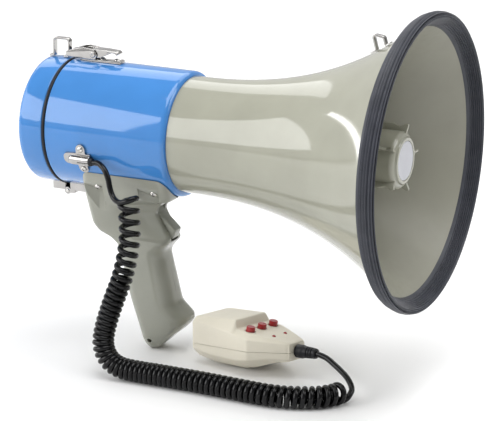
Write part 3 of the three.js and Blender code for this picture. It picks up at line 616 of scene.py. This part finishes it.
def ribbed(outline, pitch, depth):
    """The outline with grooves of that pitch pressed into it."""
    points_in_groove = 8
    points = evenly(outline, pitch / points_in_groove)
    made = []
    for index, point in enumerate(points):
        along = points[min(index + 1, len(points) - 1)] - points[max(index - 1, 0)]
        inward = Vector((along.y, -along.x)).normalized()
        groove = (1 - math.cos(2 * math.pi * index / points_in_groove)) / 2
        made.append(point + inward * depth * groove)
    return made


def make_rim():
    """The rubber bumper: broad ribs round its outside, fine ones round its face."""
    outside = profile([(-16.4, 107.4), (-12.8, 112.6, 6), (-6.4, 115.2, 6), (-1, 115.2, 2.4), (0, 113.4)])
    face = profile([(0, 113.4), (0, 110.6, 2.4), (-8.6, bell_inner_radius(-8.6) - 1.2)])
    lip = -7.7
    outline = [
        *ribbed(outside, 2.7, 1.5),
        *ribbed(face, 1.6, 0.9),
        (-10.6, bell_inner_radius(-10.6) - 0.5), (-11.4, bell_inner_radius(-11.4) - 0.3),
        (lip, bell_inner_radius(lip) - 0.3), (lip, bell_radius(lip) + 0.3),
        (-16.4, bell_radius(-16.4) + 0.5),
    ]
    install(lathe("rim", outline, 192), "rim_rubber", "rim_bumper")


def make_hub():
    """The cup that turns the sound back, with five fins that hold it on the throat tube."""
    hub_low, hub_high = span("horn_hub")
    face = hub_high.x
    cup_end = face - 41
    cup_radius = 22.5
    label_seat = 15.3
    cup = lathe("hub", profile([
        (face - 3, 0), (face - 0.9, 0), (face - 0.9, label_seat), (face, label_seat, 0.4),
        (face, 17.8, 0.9), (face - 1.6, 18.6, 0.5), (face - 1.6, cup_radius, 4.5),
        (cup_end, cup_radius, 0.6), (cup_end, cup_radius - 2.2, 0.6),
        (face - 6, cup_radius - 2.2, 3), (face - 6, 12, 1), (face - 3, 11), (face - 3, 0),
    ]), 96)
    collar = lathe("collar", rounded([
        (hub_low.x, 15.8), (hub_low.x, 17.8, 0.5), (cup_end + 2, 17.8, 0.5), (cup_end + 2, 15.8),
    ]), 96)
    join(cup, collar)
    fin_outline = rounded([
        (face - 4, 19), (face - 2, 20.5, 0.6), (face - 0.6, 27.6, 0.8), (face - 3.4, 28, 1),
        (face - 7.6, 25.4, 3), (face - 13, 27.6, 4), (hub_low.x, 27.6, 2), (hub_low.x, 16.8),
        (cup_end - 0.5, 16.8), (cup_end - 0.5, 21.5),
    ])
    for i in range(5):
        turn = HORN @ Matrix.Rotation(math.radians(57 - 72 * i), 4, "X")
        join(cup, soften(plate("fin", fin_outline, -1.1, 1.1, turn), 0.7))
    install(cup, "horn_plastic", "horn_hub")


def make_hub_label():
    label_low, label_high = span("hub_label_disc")
    face = label_high.x
    outline = profile([
        (label_low.x, 0), (label_low.x, 15, 0.15), (face, 15, 0.2), (face, 14.2, 0.1),
        (face - 0.15, 13.9, 0.1), (face - 0.15, 0),
    ])
    install(lathe("hub_label", outline, 96), "label_white", "hub_label_disc")


def make_throat_tube():
    tube_low, tube_high = span("throat_tube")
    outline = rounded([
        (tube_low.x, 12.6), (tube_low.x, 15.5), (-213.2, 15.5), (-213.2, 30, 0.5),
        (-211, 30, 0.5), (-211, 15.5, 1.5), (tube_high.x, 15.5, 0.8), (tube_high.x, 12.6, 0.8),
    ])
    install(lathe("throat", outline, 72), "horn_plastic", "throat_tube")


make_bell()
make_bell_lining()
make_rim()
make_hub()
make_hub_label()
make_throat_tube()

# ---------------------------------------------------------------- body and battery cover


def make_shell():
    rear, front = shell_low.x, shell_high.x
    outline = rounded([
        (rear, body_radius - 2.5, 0.4), (rear, body_radius, 0.8), (front, body_radius - 0.8, 4.6),
        (front, 46.8, 0.5), (front - 5, 46.8, 0.5), (front - 6, 47.7),
    ])
    install(lathe("shell", outline, 160), "blue_plastic", "body_shell")


def make_cap():
    rear, front = cap_low.x, cap_high.x
    wall = 2.6
    outline = profile([
        (rear, 0), (rear, 36, 0.3), (rear + 0.9, 37, 0.5), (rear, 38, 0.3),
        (rear, body_radius, 5.5), (front, body_radius, 0.8), (front, body_radius - wall, 0.4),
        (rear + wall, body_radius - wall, 3), (rear + wall, 0),
    ])
    install(lathe("cap", outline, 160), "blue_plastic", "rear_cap", body="battery_cover")


def make_gasket():
    rear, front, outer = gasket_low.x, gasket_high.x, gasket_high.z
    outline = rounded([(rear, 48.4), (rear, outer, 0.9), (front, outer, 0.9), (front, 48.4)])
    install(lathe("gasket", outline, 160), "black_rubber", "cap_gasket", body="battery_cover")


def make_contact_plate():
    """The disc inside the cover, with two studs and two curled spring strips."""
    plate_low, plate_high = span("contact_plate")
    disc = lathe("contact_plate", profile([
        (plate_low.x + 1.6, 0), (plate_low.x + 1.6, 40, 0.3), (plate_low.x + 3.1, 40, 0.3),
        (plate_low.x + 3.1, 22, 0.4), (plate_low.x + 4, 20, 0.4), (plate_low.x + 4, 0),
    ]), 96)
    studs = [rod("stud", (plate_low.x, 0, z), (plate_high.x, 0, z), 2.4) for z in (-35, 35)]
    join(disc, *studs)
    for side in (-1, 1):
        spring = rounded([
            (plate_low.x + 2.5, side * 26), (plate_low.x + 9, side * 19, 3),
            (plate_low.x + 2.5, side * 12), (plate_low.x + 2.5, side * 11),
            (plate_low.x + 10, side * 19, 3.5), (plate_low.x + 2.5, side * 27),
        ])
        join(disc, plate("spring", spring, -4, 4))
    install(disc, "driver_steel", "contact_plate", body="battery_cover")


def make_battery_carrier():
    """The spool that holds the cells, with six ribs on its outer face."""
    rear, front = [corner.x for corner in span("battery_carrier")]
    spool = lathe("battery_carrier", profile([
        (rear, 0), (rear, 45, 0.5), (rear + 2, 45, 0.5), (rear + 2, 9, 1), (front - 2, 9, 1),
        (front - 2, 45, 0.5), (front, 45, 0.5), (front, 0),
    ]), 96)
    rib = rounded([(rear - 0.2, 12), (rear - 0.2, 41, 0.1), (rear + 1, 42), (rear + 1, 11)])
    for i in range(6):
        turn = HORN @ Matrix.Rotation(math.radians(60 * i), 4, "X")
        join(spool, plate("rib", rib, -0.8, 0.8, turn))
    install(spool, "black_plastic", "battery_carrier")


def make_battery_cell(index):
    node = f"battery_cell_{index}"
    low, high = span(node)
    middle = (low + high) / 2
    outline = profile([
        (low.x, 0), (low.x, 9), (low.x + 0.5, 9.4, 0.2), (low.x, 10, 0.2), (low.x, 13, 1.2),
        (high.x - 2.4, 13, 1.2), (high.x - 2.4, 10.6, 0.2), (high.x - 1.6, 9.6, 0.4),
        (high.x - 1.6, 3.2, 0.3), (high.x, 3.2, 0.4), (high.x, 0),
    ])
    axes = HORN @ Matrix.Translation((0, middle.y, middle.z))
    install(lathe(node + "_jacket", outline, 48, axes), "battery_jacket", node)


make_shell()
make_cap()
make_gasket()
make_contact_plate()
make_battery_carrier()
for cell in range(1, 7):
    make_battery_cell(cell)

# ---------------------------------------------------------------- screws


def make_screw(node, head_base, inward, head_radius=2.5, head_height=1.5, length=6):
    """A domed head with a cross recess, on a plain shank."""
    axes = pointing(head_base, inward)
    head = profile([
        (-head_height, 0), (-head_height, head_radius * 0.5, 1.2),
        (-head_height * 0.45, head_radius * 0.96, 0.8), (0, head_radius, 0.1), (0, 1.2),
        (length, 1.2, 0.4), (length, 0),
    ])
    screw = lathe(node + "_head", head, 32, axes)
    reach, width = head_radius * 0.5, head_radius * 0.13
    above, floor = -9, -head_height * 0.35
    for y, z in ((reach, width), (width, reach)):
        outline = [(above, -z), (above, z), (floor, z), (floor, -z)]
        cut(screw, plate("recess", outline, -y, y, axes))
    install(screw, "screw_steel", node)


# ---------------------------------------------------------------- hinge under the cover


def body_core(radius=body_radius + 0.1):
    """A bar as thick as the body, for cutting what rests on it."""
    return lathe("core", [(-345, 0), (-345, radius), (-190, radius), (-190, 0)], 256)


def make_hinge_leaf(name, node, slot_body, x, knuckles, tongue_x):
    hinge_low, hinge_high = span("hinge_pin")
    pin = (hinge_low + hinge_high) / 2
    underside = -55.3
    outline = rounded([(x[0], -14, 2), (x[1], -14, 2), (x[1], 14, 2), (x[0], 14, 2)])
    leaf = slab(name, outline, underside, -46)
    cut(leaf, body_core())
    for y in knuckles:
        join(leaf, rod("knuckle", (pin.x, y[0], pin.z), (pin.x, y[1], pin.z), 3, edge=0.3))
        tongue = [(tongue_x[0], -57.6), (tongue_x[1], -57.6), (tongue_x[1], -54.4), (tongue_x[0], -54.4)]
        join(leaf, plate("tongue", rounded([(*corner, 0.4) for corner in tongue]), *y))
    cut(leaf, rod("bore", (pin.x, -20, pin.z), (pin.x, 20, pin.z), 1.65))
    middle = (x[0] + x[1]) / 2
    head = profile([(0, 0), (0, 2.4), (1.2, 1.6, 0.8), (1.2, 0)])
    for y in (-9, 9):
        join(leaf, lathe("rivet", head, 24, pointing((middle, y, underside), (0, 0, -1))))
    install(leaf, "chrome_hardware", node, body=slot_body)


def make_hinge():
    make_hinge_leaf("hinge_leaf_fixed", "hinge_leaf_body", "megaphone", (-308.2, -293),
                    [(-14, -5), (5, 14)], (-308.8, -303))
    make_hinge_leaf("hinge_leaf_moving", "hinge_leaf_cap", "battery_cover", (-324, -311.4),
                    [(-4.7, 4.7)], (-316, -310.6))
    low, high = span("hinge_pin")
    middle = (low + high) / 2
    pin = rod("pin", (middle.x, low.y, middle.z), (middle.x, high.y, middle.z), 1.5, edge=0.5)
    install(pin, "screw_steel", "hinge_pin")


make_hinge()

# ---------------------------------------------------------------- draw latch and strap rings


def pair_of_plates(name, outline, inner, outer):
    """Two like plates, one on each side of the middle."""
    edge = 0.25
    first = soften(plate(name, outline, inner, outer), edge)
    second = soften(plate(name, outline, -outer, -inner), edge)
    return join(first, second)


def make_latch_base():
    flat = [(-301, 48), (-264.5, 48), (-264.5, 52.7), (-301, 52.7)]
    base_plate = soften(plate("latch_base_plate", flat, -3.8, 3.8), 0.4)
    cut(base_plate, body_core())
    ears = pair_of_plates("ears", rounded([
        (-298.5, 52.2), (-298.5, 61.4, 2.6), (-291.5, 61.4, 2.6), (-291.5, 52.2),
    ]), 2.6, 3.6)
    join(base_plate, ears)
    lip = rounded([(-267.5, 52), (-267.5, 53.6, 0.6), (-264.6, 53.6, 0.6), (-264.6, 52)])
    join(base_plate, plate("lip", lip, -3.4, 3.4))
    install(base_plate, "chrome_hardware", "latch_base")


arm_pivot = (-288.2, 57.2)


def make_latch_lever():
    lever = pair_of_plates("lever", rounded([
        (-297.6, 57, 1.5), (-297.6, 61.2, 2), (-276, 61.1, 0.6),
        (-276, 57.6, 1), (-283, 54.6, 2), (-290, 54.2, 2),
    ]), 3.9, 4.8)
    top = plate("lever_top", rounded([
        (-290.4, 60.2), (-290.4, 61.3), (-279, 61.3, 8), (-268.6, 60.6, 1.6), (-266.6, 58.6, 0.8),
        (-267.8, 57.8, 0.5), (-269.6, 59.3, 1), (-279, 60.2, 8),
    ]), -4.8, 4.8)
    join(lever, soften(top, 0.3))
    join(lever, rod("pivot", (-295, -4.2, 58.8), (-295, 4.2, 58.8), 1.1))
    head = profile([
        (0, 0), (0, 1.5), (2.1, 1.5), (2.1, 2.4, 0.2), (2.9, 2.4, 0.6), (2.9, 1, 0.2),
        (2.6, 0.7, 0.1), (2.6, 0),
    ])
    x, z = arm_pivot
    for side in (-1, 1):
        join(lever, lathe("rivet", head, 32, pointing((x, side * 4.5, z), (0, side, 0))))
    install(lever, "chrome_hardware", "latch_lever", body="latch_lever")


def make_latch_arm():
    cheek = rounded([
        (-312.8, 53.8, 1.2), (-313, 58, 1.6), (-297, 62.4, 4), (-288, 61.4, 3.6),
        (-284.4, 57.2, 3.2), (-286.6, 52.8, 2.4), (-300, 52.8, 8),
    ])
    arm = pair_of_plates("arm", cheek, 5.2, 6.2)
    bridge_plate = plate("bridge", [(-306, 59.2), (-306, 60.2), (-300, 61.8), (-300, 60.8)], -5.8, 5.8)
    join(arm, bridge_plate)
    x, z = arm_pivot
    cut(arm, rod("hole", (x, -8, z), (x, 8, z), 1.8))
    install(arm, "chrome_hardware", "latch_arm", body="latch_arm")


def bent_strip(name, route, thickness=1.5, half_width=2.5):
    """A flat strip bent along a route of (x, z, radius) corners."""
    line = profile(route)
    outer, inner = [], []
    for index, point in enumerate(line):
        along = line[min(index + 1, len(line) - 1)] - line[max(index - 1, 0)]
        across = Vector((-along.y, along.x)).normalized() * thickness / 2
        outer.append(point + across)
        inner.append(point - across)
    return soften(plate(name, [*outer, *reversed(inner)], -half_width, half_width), 0.35)


def make_strap_rings():
    rear = bent_strip("rear_ring", [
        (-330.5, 52.2), (-326.5, 52.2, 1), (-326.2, 66.6, 2.4),
        (-312.5, 66.6, 2.4), (-313, 52.2, 1), (-317.5, 52.2),
    ])
    install(rear, "chrome_hardware", "strap_ring_rear", body="battery_cover")
    front = bent_strip("front_ring", [
        (-50.5, 80.9), (-46, 83.6, 1.2), (-49.2, 95.4, 1.8),
        (-40.2, 94, 2), (-38.4, 87.4, 1.2), (-34.4, 90.4),
    ])
    flare = [(x, bell_radius(x) + 0.05) for x in (-56, -44, -30)]
    bell_core = lathe("bell_core", [(-56, 0), *flare, (-30, 0)], 256)
    install(cut(front, bell_core), "chrome_hardware", "strap_ring_front")


make_latch_base()
make_latch_lever()
make_latch_arm()
make_strap_rings()
for number, x in enumerate((-269.5, -282.5), start=1):
    make_screw(f"latch_screw_{number}", (x, 0, 52.8), (0, 0, -1))

# ---------------------------------------------------------------- cord clip


clip_thickness = 1.6


def make_cord_clip():
    """A curved plate with two ears, and a raised channel that holds the cord's sleeve."""
    ear = 3.9
    outline = rounded([
        (-267.2, -5.2, 1), (-271.5, -5.2, 0.8), (-271.6, -12.9, ear), (-279.4, -12.9, ear),
        (-279.5, -5.6, 1), (-291.4, -4.6, 4), (-291.4, 4.6, 4), (-279.5, 5.6, 1),
        (-279.4, 12.9, ear), (-271.6, 12.9, ear),
        (-271.5, 5.2, 0.8), (-267.2, 5.2, 1),
    ], steps=8)
    blank = plate("clip", outline, -60, -40, CLIP)
    under, over = body_radius + 0.05, body_radius + clip_thickness
    wrap = lathe("wrap", [(-300, under), (-300, over), (-260, over), (-260, under)], 256)
    combine(blank, "INTERSECT", wrap)
    dome = profile([(-286.6, 0), (-286.6, 4.2, 3.6), (-267.4, 4.2, 0.5), (-267.4, 0)])
    channel = lathe("channel", dome, 48, CLIP @ Matrix.Translation((0, -52.6, 0)))
    cut(channel, body_core(under))
    join(blank, channel)
    cut(blank, rod("bore", (-280, -53.6, 0), (-262, -53.6, 0), 2.9, CLIP))
    soften(blank, 0.3, segments=2, angle=40)
    install(blank, "chrome_hardware", "cord_clip")


def make_cord_gland():
    outline = profile([
        (0, 0), (0, 2.8), (9.5, 2.8, 0.5), (10.5, 3.6, 0.5), (13, 2.9, 0.8), (13, 0),
    ])
    gland = lathe("gland", outline, 48, CLIP @ Matrix.Translation((-277.5, -54, 0)))
    return install(gland, "black_rubber", "cord_gland")


make_cord_clip()
gland = make_cord_gland()
for number, side in ((1, 1), (2, -1)):
    lean = side * 9 / (body_radius + clip_thickness)
    outward = CLIP.to_3x3().normalized() @ Vector((0, -math.cos(lean), math.sin(lean)))
    seat = Vector((-275.5, 0, 0)) + outward * (body_radius + clip_thickness)
    make_screw(f"clip_screw_{number}", seat, -outward)

# ---------------------------------------------------------------- pistol grip

saddle_screws = [(x, side) for side in (-1, 1) for x in (-269, -219)]

# Each section runs from a point on the back to a point on the front, with half its width and the
# radius of its corners. Round the trigger a fifth value is half the width at the front.
grip_sections = [
    ((-283, -20), (-205.5, -20), 42.5, 8),
    ((-283, -33), (-205.5, -34), 41.5, 8),
    ((-283.3, -46), (-206, -48), 36.8, 6),
    ((-283.6, -58), (-227, -57.6), 31.4, 6, 10.5),
    ((-284, -66), (-232, -65.8), 27.6, 6, 9.8),
    ((-284.4, -78), (-224.8, -77.8), 22, 6, 9.8),
    ((-281.5, -84.8), (-219.4, -86.4), 18.8, 7, 10.6),
    ((-273.5, -88.8), (-219.4, -90.2), 17.6, 9),
    ((-267.4, -95), (-225.6, -98), 16.8, 11),
    ((-265.4, -102), (-226, -102), 16.5, 12),
    ((-256.8, -138.5), (-216, -143), 16.5, 12),
    ((-251.6, -153), (-206, -152.4), 16.5, 11),
    ((-247, -167), (-205.8, -156.4), 16.5, 11),
    ((-245.4, -173.4), (-210.6, -162.6), 15.6, 10),
    ((-243, -179), (-219, -169.6), 12.6, 8),
    ((-240, -182.7), (-231, -180.8), 7.5, 3),
]


def grip_ring(back, front, half, corner, front_half=None):
    """A section with rounded corners, as points round it."""
    back, front = Vector(back), Vector(front)
    length = (front - back).length
    front_half = front_half or half
    front_corner = min(corner, front_half * 0.3) if front_half < half else corner
    outline = rounded([
        (0, -half, corner), (length / 2, -half), (length, -front_half, front_corner), (length, 0),
        (length, front_half, front_corner), (length / 2, half), (0, half, corner), (0, 0),
    ], steps=7)
    along = (front - back) / length
    return [Vector((back.x + along.x * a, b, back.y + along.y * a)) for a, b in outline]


def eased(rings, spacing, passes):
    """Closely spaced rings between the given ones, with the bends between them rounded off."""
    fine = []
    for ring, following in zip(rings, rings[1:]):
        reach = max((end - start).length for start, end in zip(ring, following))
        steps = max(1, round(reach / spacing))
        for step in range(steps):
            fine.append([start.lerp(end, step / steps) for start, end in zip(ring, following)])
    fine.append(rings[-1])
    for _ in range(passes):
        middle = [
            [(a + 2 * b + c) / 4 for a, b, c in zip(*three)] for three in zip(fine, fine[1:], fine[2:])
        ]
        fine = [fine[0], *middle, fine[-1]]
    return fine


def saddle_seat(x, side):
    """Where the head of a saddle screw rests."""
    return Vector((x, side * 35.4, -41.7))


def screw_pocket(x, side):
    """Room for a screwdriver: a ramp from behind down to the saddle screw, and a wall before it."""
    seat = saddle_seat(x, side)
    up_the_seat = Vector((0, side * 0.759, 0.651))
    down_the_grip = Vector((0, -side * 2, -40))
    ceiling = [
        seat + Vector((along, 0, 0)) + up_the_seat * rise
        for along, rise in ((-12.4, 2.6), (-2.4, -7.2), (3, -7.6), (5.4, -3), (7, 24), (-12.4, 24))
    ]
    return loft("pocket", [ceiling, [point + down_the_grip for point in ceiling]])


def make_grip():
    rings = eased([grip_ring(*section) for section in grip_sections], 1.6, 4)
    body = loft("grip", rings)
    cut(body, body_core())
    slot = plate("slot", [
        (-239.6, -61), (-200, -61), (-200, -89.8), (-220, -89.8),
        (-224, -91), (-240, -91), (-253, -88), (-253, -68), (-240, -66),
    ], -5.9, 5.9)
    cut(body, slot)
    cut(body, rod("lanyard_hole", (-236.4, -20, -173.8), (-236.4, 20, -173.8), 1.9))
    for x, side in saddle_screws:
        cut(body, screw_pocket(x, side))
    return body


def split_grip(body):
    """The two mouldings of the grip, on either side of the parting line."""
    for side, node in ((-1, "grip_right"), (1, "grip_left")):
        mesh = bmesh.new()
        mesh.from_mesh(body.data)
        parting = bmesh.ops.bisect_plane(
            mesh,
            geom=[*mesh.verts, *mesh.edges, *mesh.faces],
            plane_co=(0, side * parting_half_gap / 1000, 0),
            plane_no=(0, side, 0),
            clear_inner=True,
        )
        edges = [part for part in parting["geom_cut"] if isinstance(part, bmesh.types.BMEdge)]
        bmesh.ops.triangle_fill(mesh, use_beauty=True, edges=edges)
        half = as_piece(node + "_moulding", mesh, Matrix.Identity(4))
        install(half, "grip_plastic", node)
    bpy.data.objects.remove(body)


def make_trigger():
    outline = rounded([
        (-238.4, -62, 2.6), (-233.2, -62, 2.4), (-230.4, -66.8, 3), (-215.8, -80, 2),
        (-218.4, -87.4, 2), (-224, -88.2, 3), (-236, -78), (-238.3, -66, 3),
    ])
    blade = soften(plate("trigger_blade", outline, -5.4, 5.4), 1.2, segments=4)
    join(blade, rod("trunnion", (-235.5, -7.8, -65), (-235.5, 7.8, -65), 2))
    install(blade, "grip_plastic", "trigger", body="trigger")


split_grip(make_grip())
make_trigger()
for number, (x, side) in enumerate(saddle_screws, start=1):
    inward = (0, -side * 0.651, 0.759)
    make_screw(f"saddle_screw_{number}", saddle_seat(x, side), inward, 3, 2, 12)

# ---------------------------------------------------------------- hand microphone

microphone_length = 86
step_at = 40.4
panel_at = step_at + 2.4
panel_start = Vector((panel_at, 0, 15.8))
panel_end = Vector((84, 0, 7.9))
panel_slope = math.atan2(panel_start.z - panel_end.z, panel_end.x - panel_start.x)
PANEL = MICROPHONE @ Matrix.Translation(panel_start) @ Matrix.Rotation(panel_slope, 4, "Y")

# Distance from the nose, half width at the parting line, height of the side wall, and half width
# and height of the flat top or bottom.
top_sections = [
    (0, 25, 18.2, 20.4, 21.4),
    (4, 25.2, 18.4, 20.4, 21.8),
    (step_at, 26.4, 12.5, 19.6, 22.6),
    (panel_at, 26.5, 12.2, 21.5, 15.8),
    (56, 26.6, 9.5, 21.5, 13.4),
    (71, 19, 8, 15.5, 10.6),
    (84, 11.6, 6.6, 9.6, 7.9),
    (microphone_length, 10.6, 6, 8.8, 7.4),
]
bottom_sections = [
    (0, 25, 4, 18, 10),
    (2, 25, 4.2, 18, 10.6),
    (20, 25.7, 7, 15, 15),
    (45, 26.5, 8, 12, 16.6),
    (56, 26.6, 7, 12, 14.4),
    (71, 19, 5, 11, 9.4),
    (84, 11.6, 5, 9.6, 7.2),
    (microphone_length, 10.6, 4.6, 8.8, 6.8),
]


def shell_ring(u, half, side, flat_half, flat, up):
    """Half a section of the case, from the parting line over the top and back down."""
    radius = min(2.2, (flat - side) * 0.4, side * 0.4)
    outline = profile([
        (-half, 0), (-half, up * side, radius), (-flat_half, up * flat, radius),
        (flat_half, up * flat, radius), (half, up * side, radius), (half, 0),
    ], steps=4)
    return [Vector((u, a, b + up * half_gap)) for a, b in outline]


def drawn_in(section, radius, angle):
    """An end section drawn in along a quarter circle, so that the end is rounded."""
    u, half, side, flat_half, flat = section
    less = radius * (1 - math.cos(angle))
    sign = 1 if u > 1 else -1
    place = u - sign * radius * (1 - math.sin(angle))
    return place, half - less, side - less / 2, flat_half - less, flat - less


def make_case_half(name, sections, up):
    nose_radius, tail_radius = 2.4, 1.2
    angles = [math.radians(90 * i / 5) for i in range(6)]
    nose = [drawn_in(sections[0], nose_radius, angle) for angle in reversed(angles)]
    tail = [drawn_in(sections[-1], tail_radius, angle) for angle in angles]
    rings = [shell_ring(*section, up) for section in sections[1:-1]]
    first = [shell_ring(*section, up) for section in nose]
    last = [shell_ring(*section, up) for section in tail]
    body = eased([first[-1], *rings, last[0]], 0.7, 3)
    return loft(name, [*first[:-1], *body, *last[1:]], MICROPHONE)


buttons = [(51.5 - panel_at, v) for v in (-15, 0, 15)]
lamps = [(69.4 - panel_at, v) for v in (-7.5, 7.5)]


def on_panel(u, v):
    """Axes at a place on the button panel, with X out of it."""
    return PANEL @ Matrix.Translation((u, v, 0)) @ Matrix.Rotation(-math.pi / 2, 4, "Y")


def build_microphone():
    case = make_case_half("case_top", top_sections, 1)
    for u, v in buttons:
        cut(case, rod("button_hole", (u, v, -6), (u, v, 8), 4.4, PANEL, edge=0.1, segments=48))
    for u, v in lamps:
        cut(case, rod("lamp_hole", (u, v, -4), (u, v, 8), 1.7, PANEL, edge=0.1))
    for row in range(6):
        height = 4.6 + 2.5 * row
        slot = rod("grille_slot", (-1, -13, height), (-1, 13, height), 1.6, MICROPHONE, edge=1)
        cut(case, slot)
    install(case, "mic_plastic", "mic_top_shell")

    base = make_case_half("case_bottom", bottom_sections, -1)
    cut(base, rod("foot_screw_hole", (76, -11, -12), (75, -9, -4), 1.7, MICROPHONE))
    install(base, "mic_plastic", "mic_bottom_shell")

    dome = profile([(-3.6, 0), (-3.6, 3.5), (4.2, 3.5, 0.5), (3.9, 2.2, 1.2), (3.9, 0)])
    for number, place in enumerate(buttons, start=1):
        button = lathe(f"button_{number}", dome, 48, on_panel(*place))
        install(button, "button_red", f"mic_button_{number}", body=f"mic_button_{number}")

    lens = profile([(-3.4, 0), (-3.4, 1.6), (1.4, 1.6, 1.4), (1.4, 0)])
    for number, place in enumerate(lamps, start=1):
        lamp = lathe(f"lamp_{number}", lens, 32, on_panel(*place))
        install(lamp, "led_red", f"mic_led_{number}")


def make_strain_relief():
    """The tapered boot: a collar, then a sleeve with bending grooves near its end."""
    start = microphone_length + 0.3
    corners = [(start, 0), (start, 5.4, 0.8), (start + 6, 5.4, 1.2), (start + 7.8, 4.8, 0.6)]
    for groove in range(3):
        place = start + 10.6 + 2.2 * groove
        radius = 4.6 - 0.12 * groove
        deep = radius - 0.7
        for along, height in ((0, radius), (0.2, deep), (0.8, deep), (1, radius)):
            corners.append((place + along, height, 0.2))
    corners += [(start + 18.8, 3.9, 0.7), (start + 18.8, 0)]
    axes = MICROPHONE @ Matrix.Translation((0, 0, 0.5))
    relief = lathe("strain_relief", rounded(corners, closed=False, steps=4), 48, axes)
    return install(relief, "black_rubber", "mic_strain_relief")


build_microphone()
relief = make_strain_relief()

# ---------------------------------------------------------------- pieces kept from the CAD

kept_nodes = {
    "driver_plate": "driver_steel",
    "driver_magnet": "ferrite",
    "driver_yoke": "driver_steel",
    "driver_diaphragm": "diaphragm_film",
    "amplifier_plate": "black_plastic",
    "amplifier_board": "circuit_board",
    "heat_sink": "heat_sink_aluminium",
    "trigger_switch": "black_plastic",
    "mic_capsule": "driver_steel",
    "mic_board": "circuit_board",
}
for node, slot in kept_nodes.items():
    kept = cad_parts[node]
    for material_slot in kept.material_slots:
        material_slot.material = finishes[slot]

# ---------------------------------------------------------------- floor and light


def make_floor():
    mesh = bmesh.new()
    bmesh.ops.create_grid(mesh, x_segments=1, y_segments=1, size=6)
    data = bpy.data.meshes.new("floor")
    mesh.to_mesh(data)
    mesh.free()
    floor = bpy.data.objects.new("floor", data)
    floor.location.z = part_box("grip_left")[0].z - 0.0003
    bpy.context.scene.collection.objects.link(floor)
    finish = Finish("pale_floor")
    finish.colour(finish.noise(0.4), shade(237, 237, 237), shade(240, 240, 240))
    finish.roughness(finish.noise(0.2), 0.85, 0.95)
    data.materials.append(finish.material)


def make_softbox(name, place, aim, size, power):
    data = bpy.data.lights.new(name, "AREA")
    data.shape = "RECTANGLE"
    data.size, data.size_y = size
    data.energy = power
    light = bpy.data.objects.new(name, data)
    light.location = place
    light.rotation_euler = (Vector(place) - Vector(aim)).to_track_quat("Z", "Y").to_euler()
    bpy.context.scene.collection.objects.link(light)


def make_world(bright, dim):
    """Soft light from all round, bright behind the cover, dim before the mouth and above."""
    world = bpy.data.worlds.new("studio")
    world.use_nodes = True
    tree = world.node_tree
    place = tree.nodes.new("ShaderNodeTexCoord")
    along = tree.nodes.new("ShaderNodeSeparateXYZ")
    tree.links.new(place.outputs["Generated"], along.inputs["Vector"])
    product = tree.nodes.new("ShaderNodeMath")
    product.operation = "MULTIPLY"
    ramps = (("X", -0.2, 0.75, bright, dim), ("Z", 0.3, 0.8, 1, 0.4))
    for factor, (axis, *limits) in zip(product.inputs, ramps):
        level = tree.nodes.new("ShaderNodeMapRange")
        level.interpolation_type = "SMOOTHSTEP"
        set_range(level, *limits)
        tree.links.new(along.outputs[axis], level.inputs["Value"])
        tree.links.new(level.outputs["Result"], factor)
    background = tree.nodes["Background"]
    background.inputs["Color"].default_value = (1, 1, 1, 1)
    tree.links.new(product.outputs["Value"], background.inputs["Strength"])
    bpy.context.scene.world = world


make_floor()
make_world(bright=0.66, dim=0.3)
middle = Vector((0.08, 0, 0.08))


def towards(azimuth, elevation, distance):
    """A place around the object."""
    return middle + direction(azimuth, elevation) * distance


make_softbox("front_softbox", towards(-48, 23, 2.5), middle, (2.2, 1.5), 37)
make_softbox("strip_softbox", towards(-93, 7, 2.2), middle, (0.12, 1.5), 5)
make_softbox("top_softbox", towards(60, 80, 2.2), middle, (2.0, 1.6), 36)
background = towards(205.8, 0, 1.7)
make_softbox("mouth_softbox", towards(100, 38, 2.5), middle, (1.2, 1.0), 17)
make_softbox("background_softbox", background + Vector((0, 0, 1.5)), background, (3.2, 1.6), 30)

bpy.context.scene.view_settings.view_transform = "Standard"
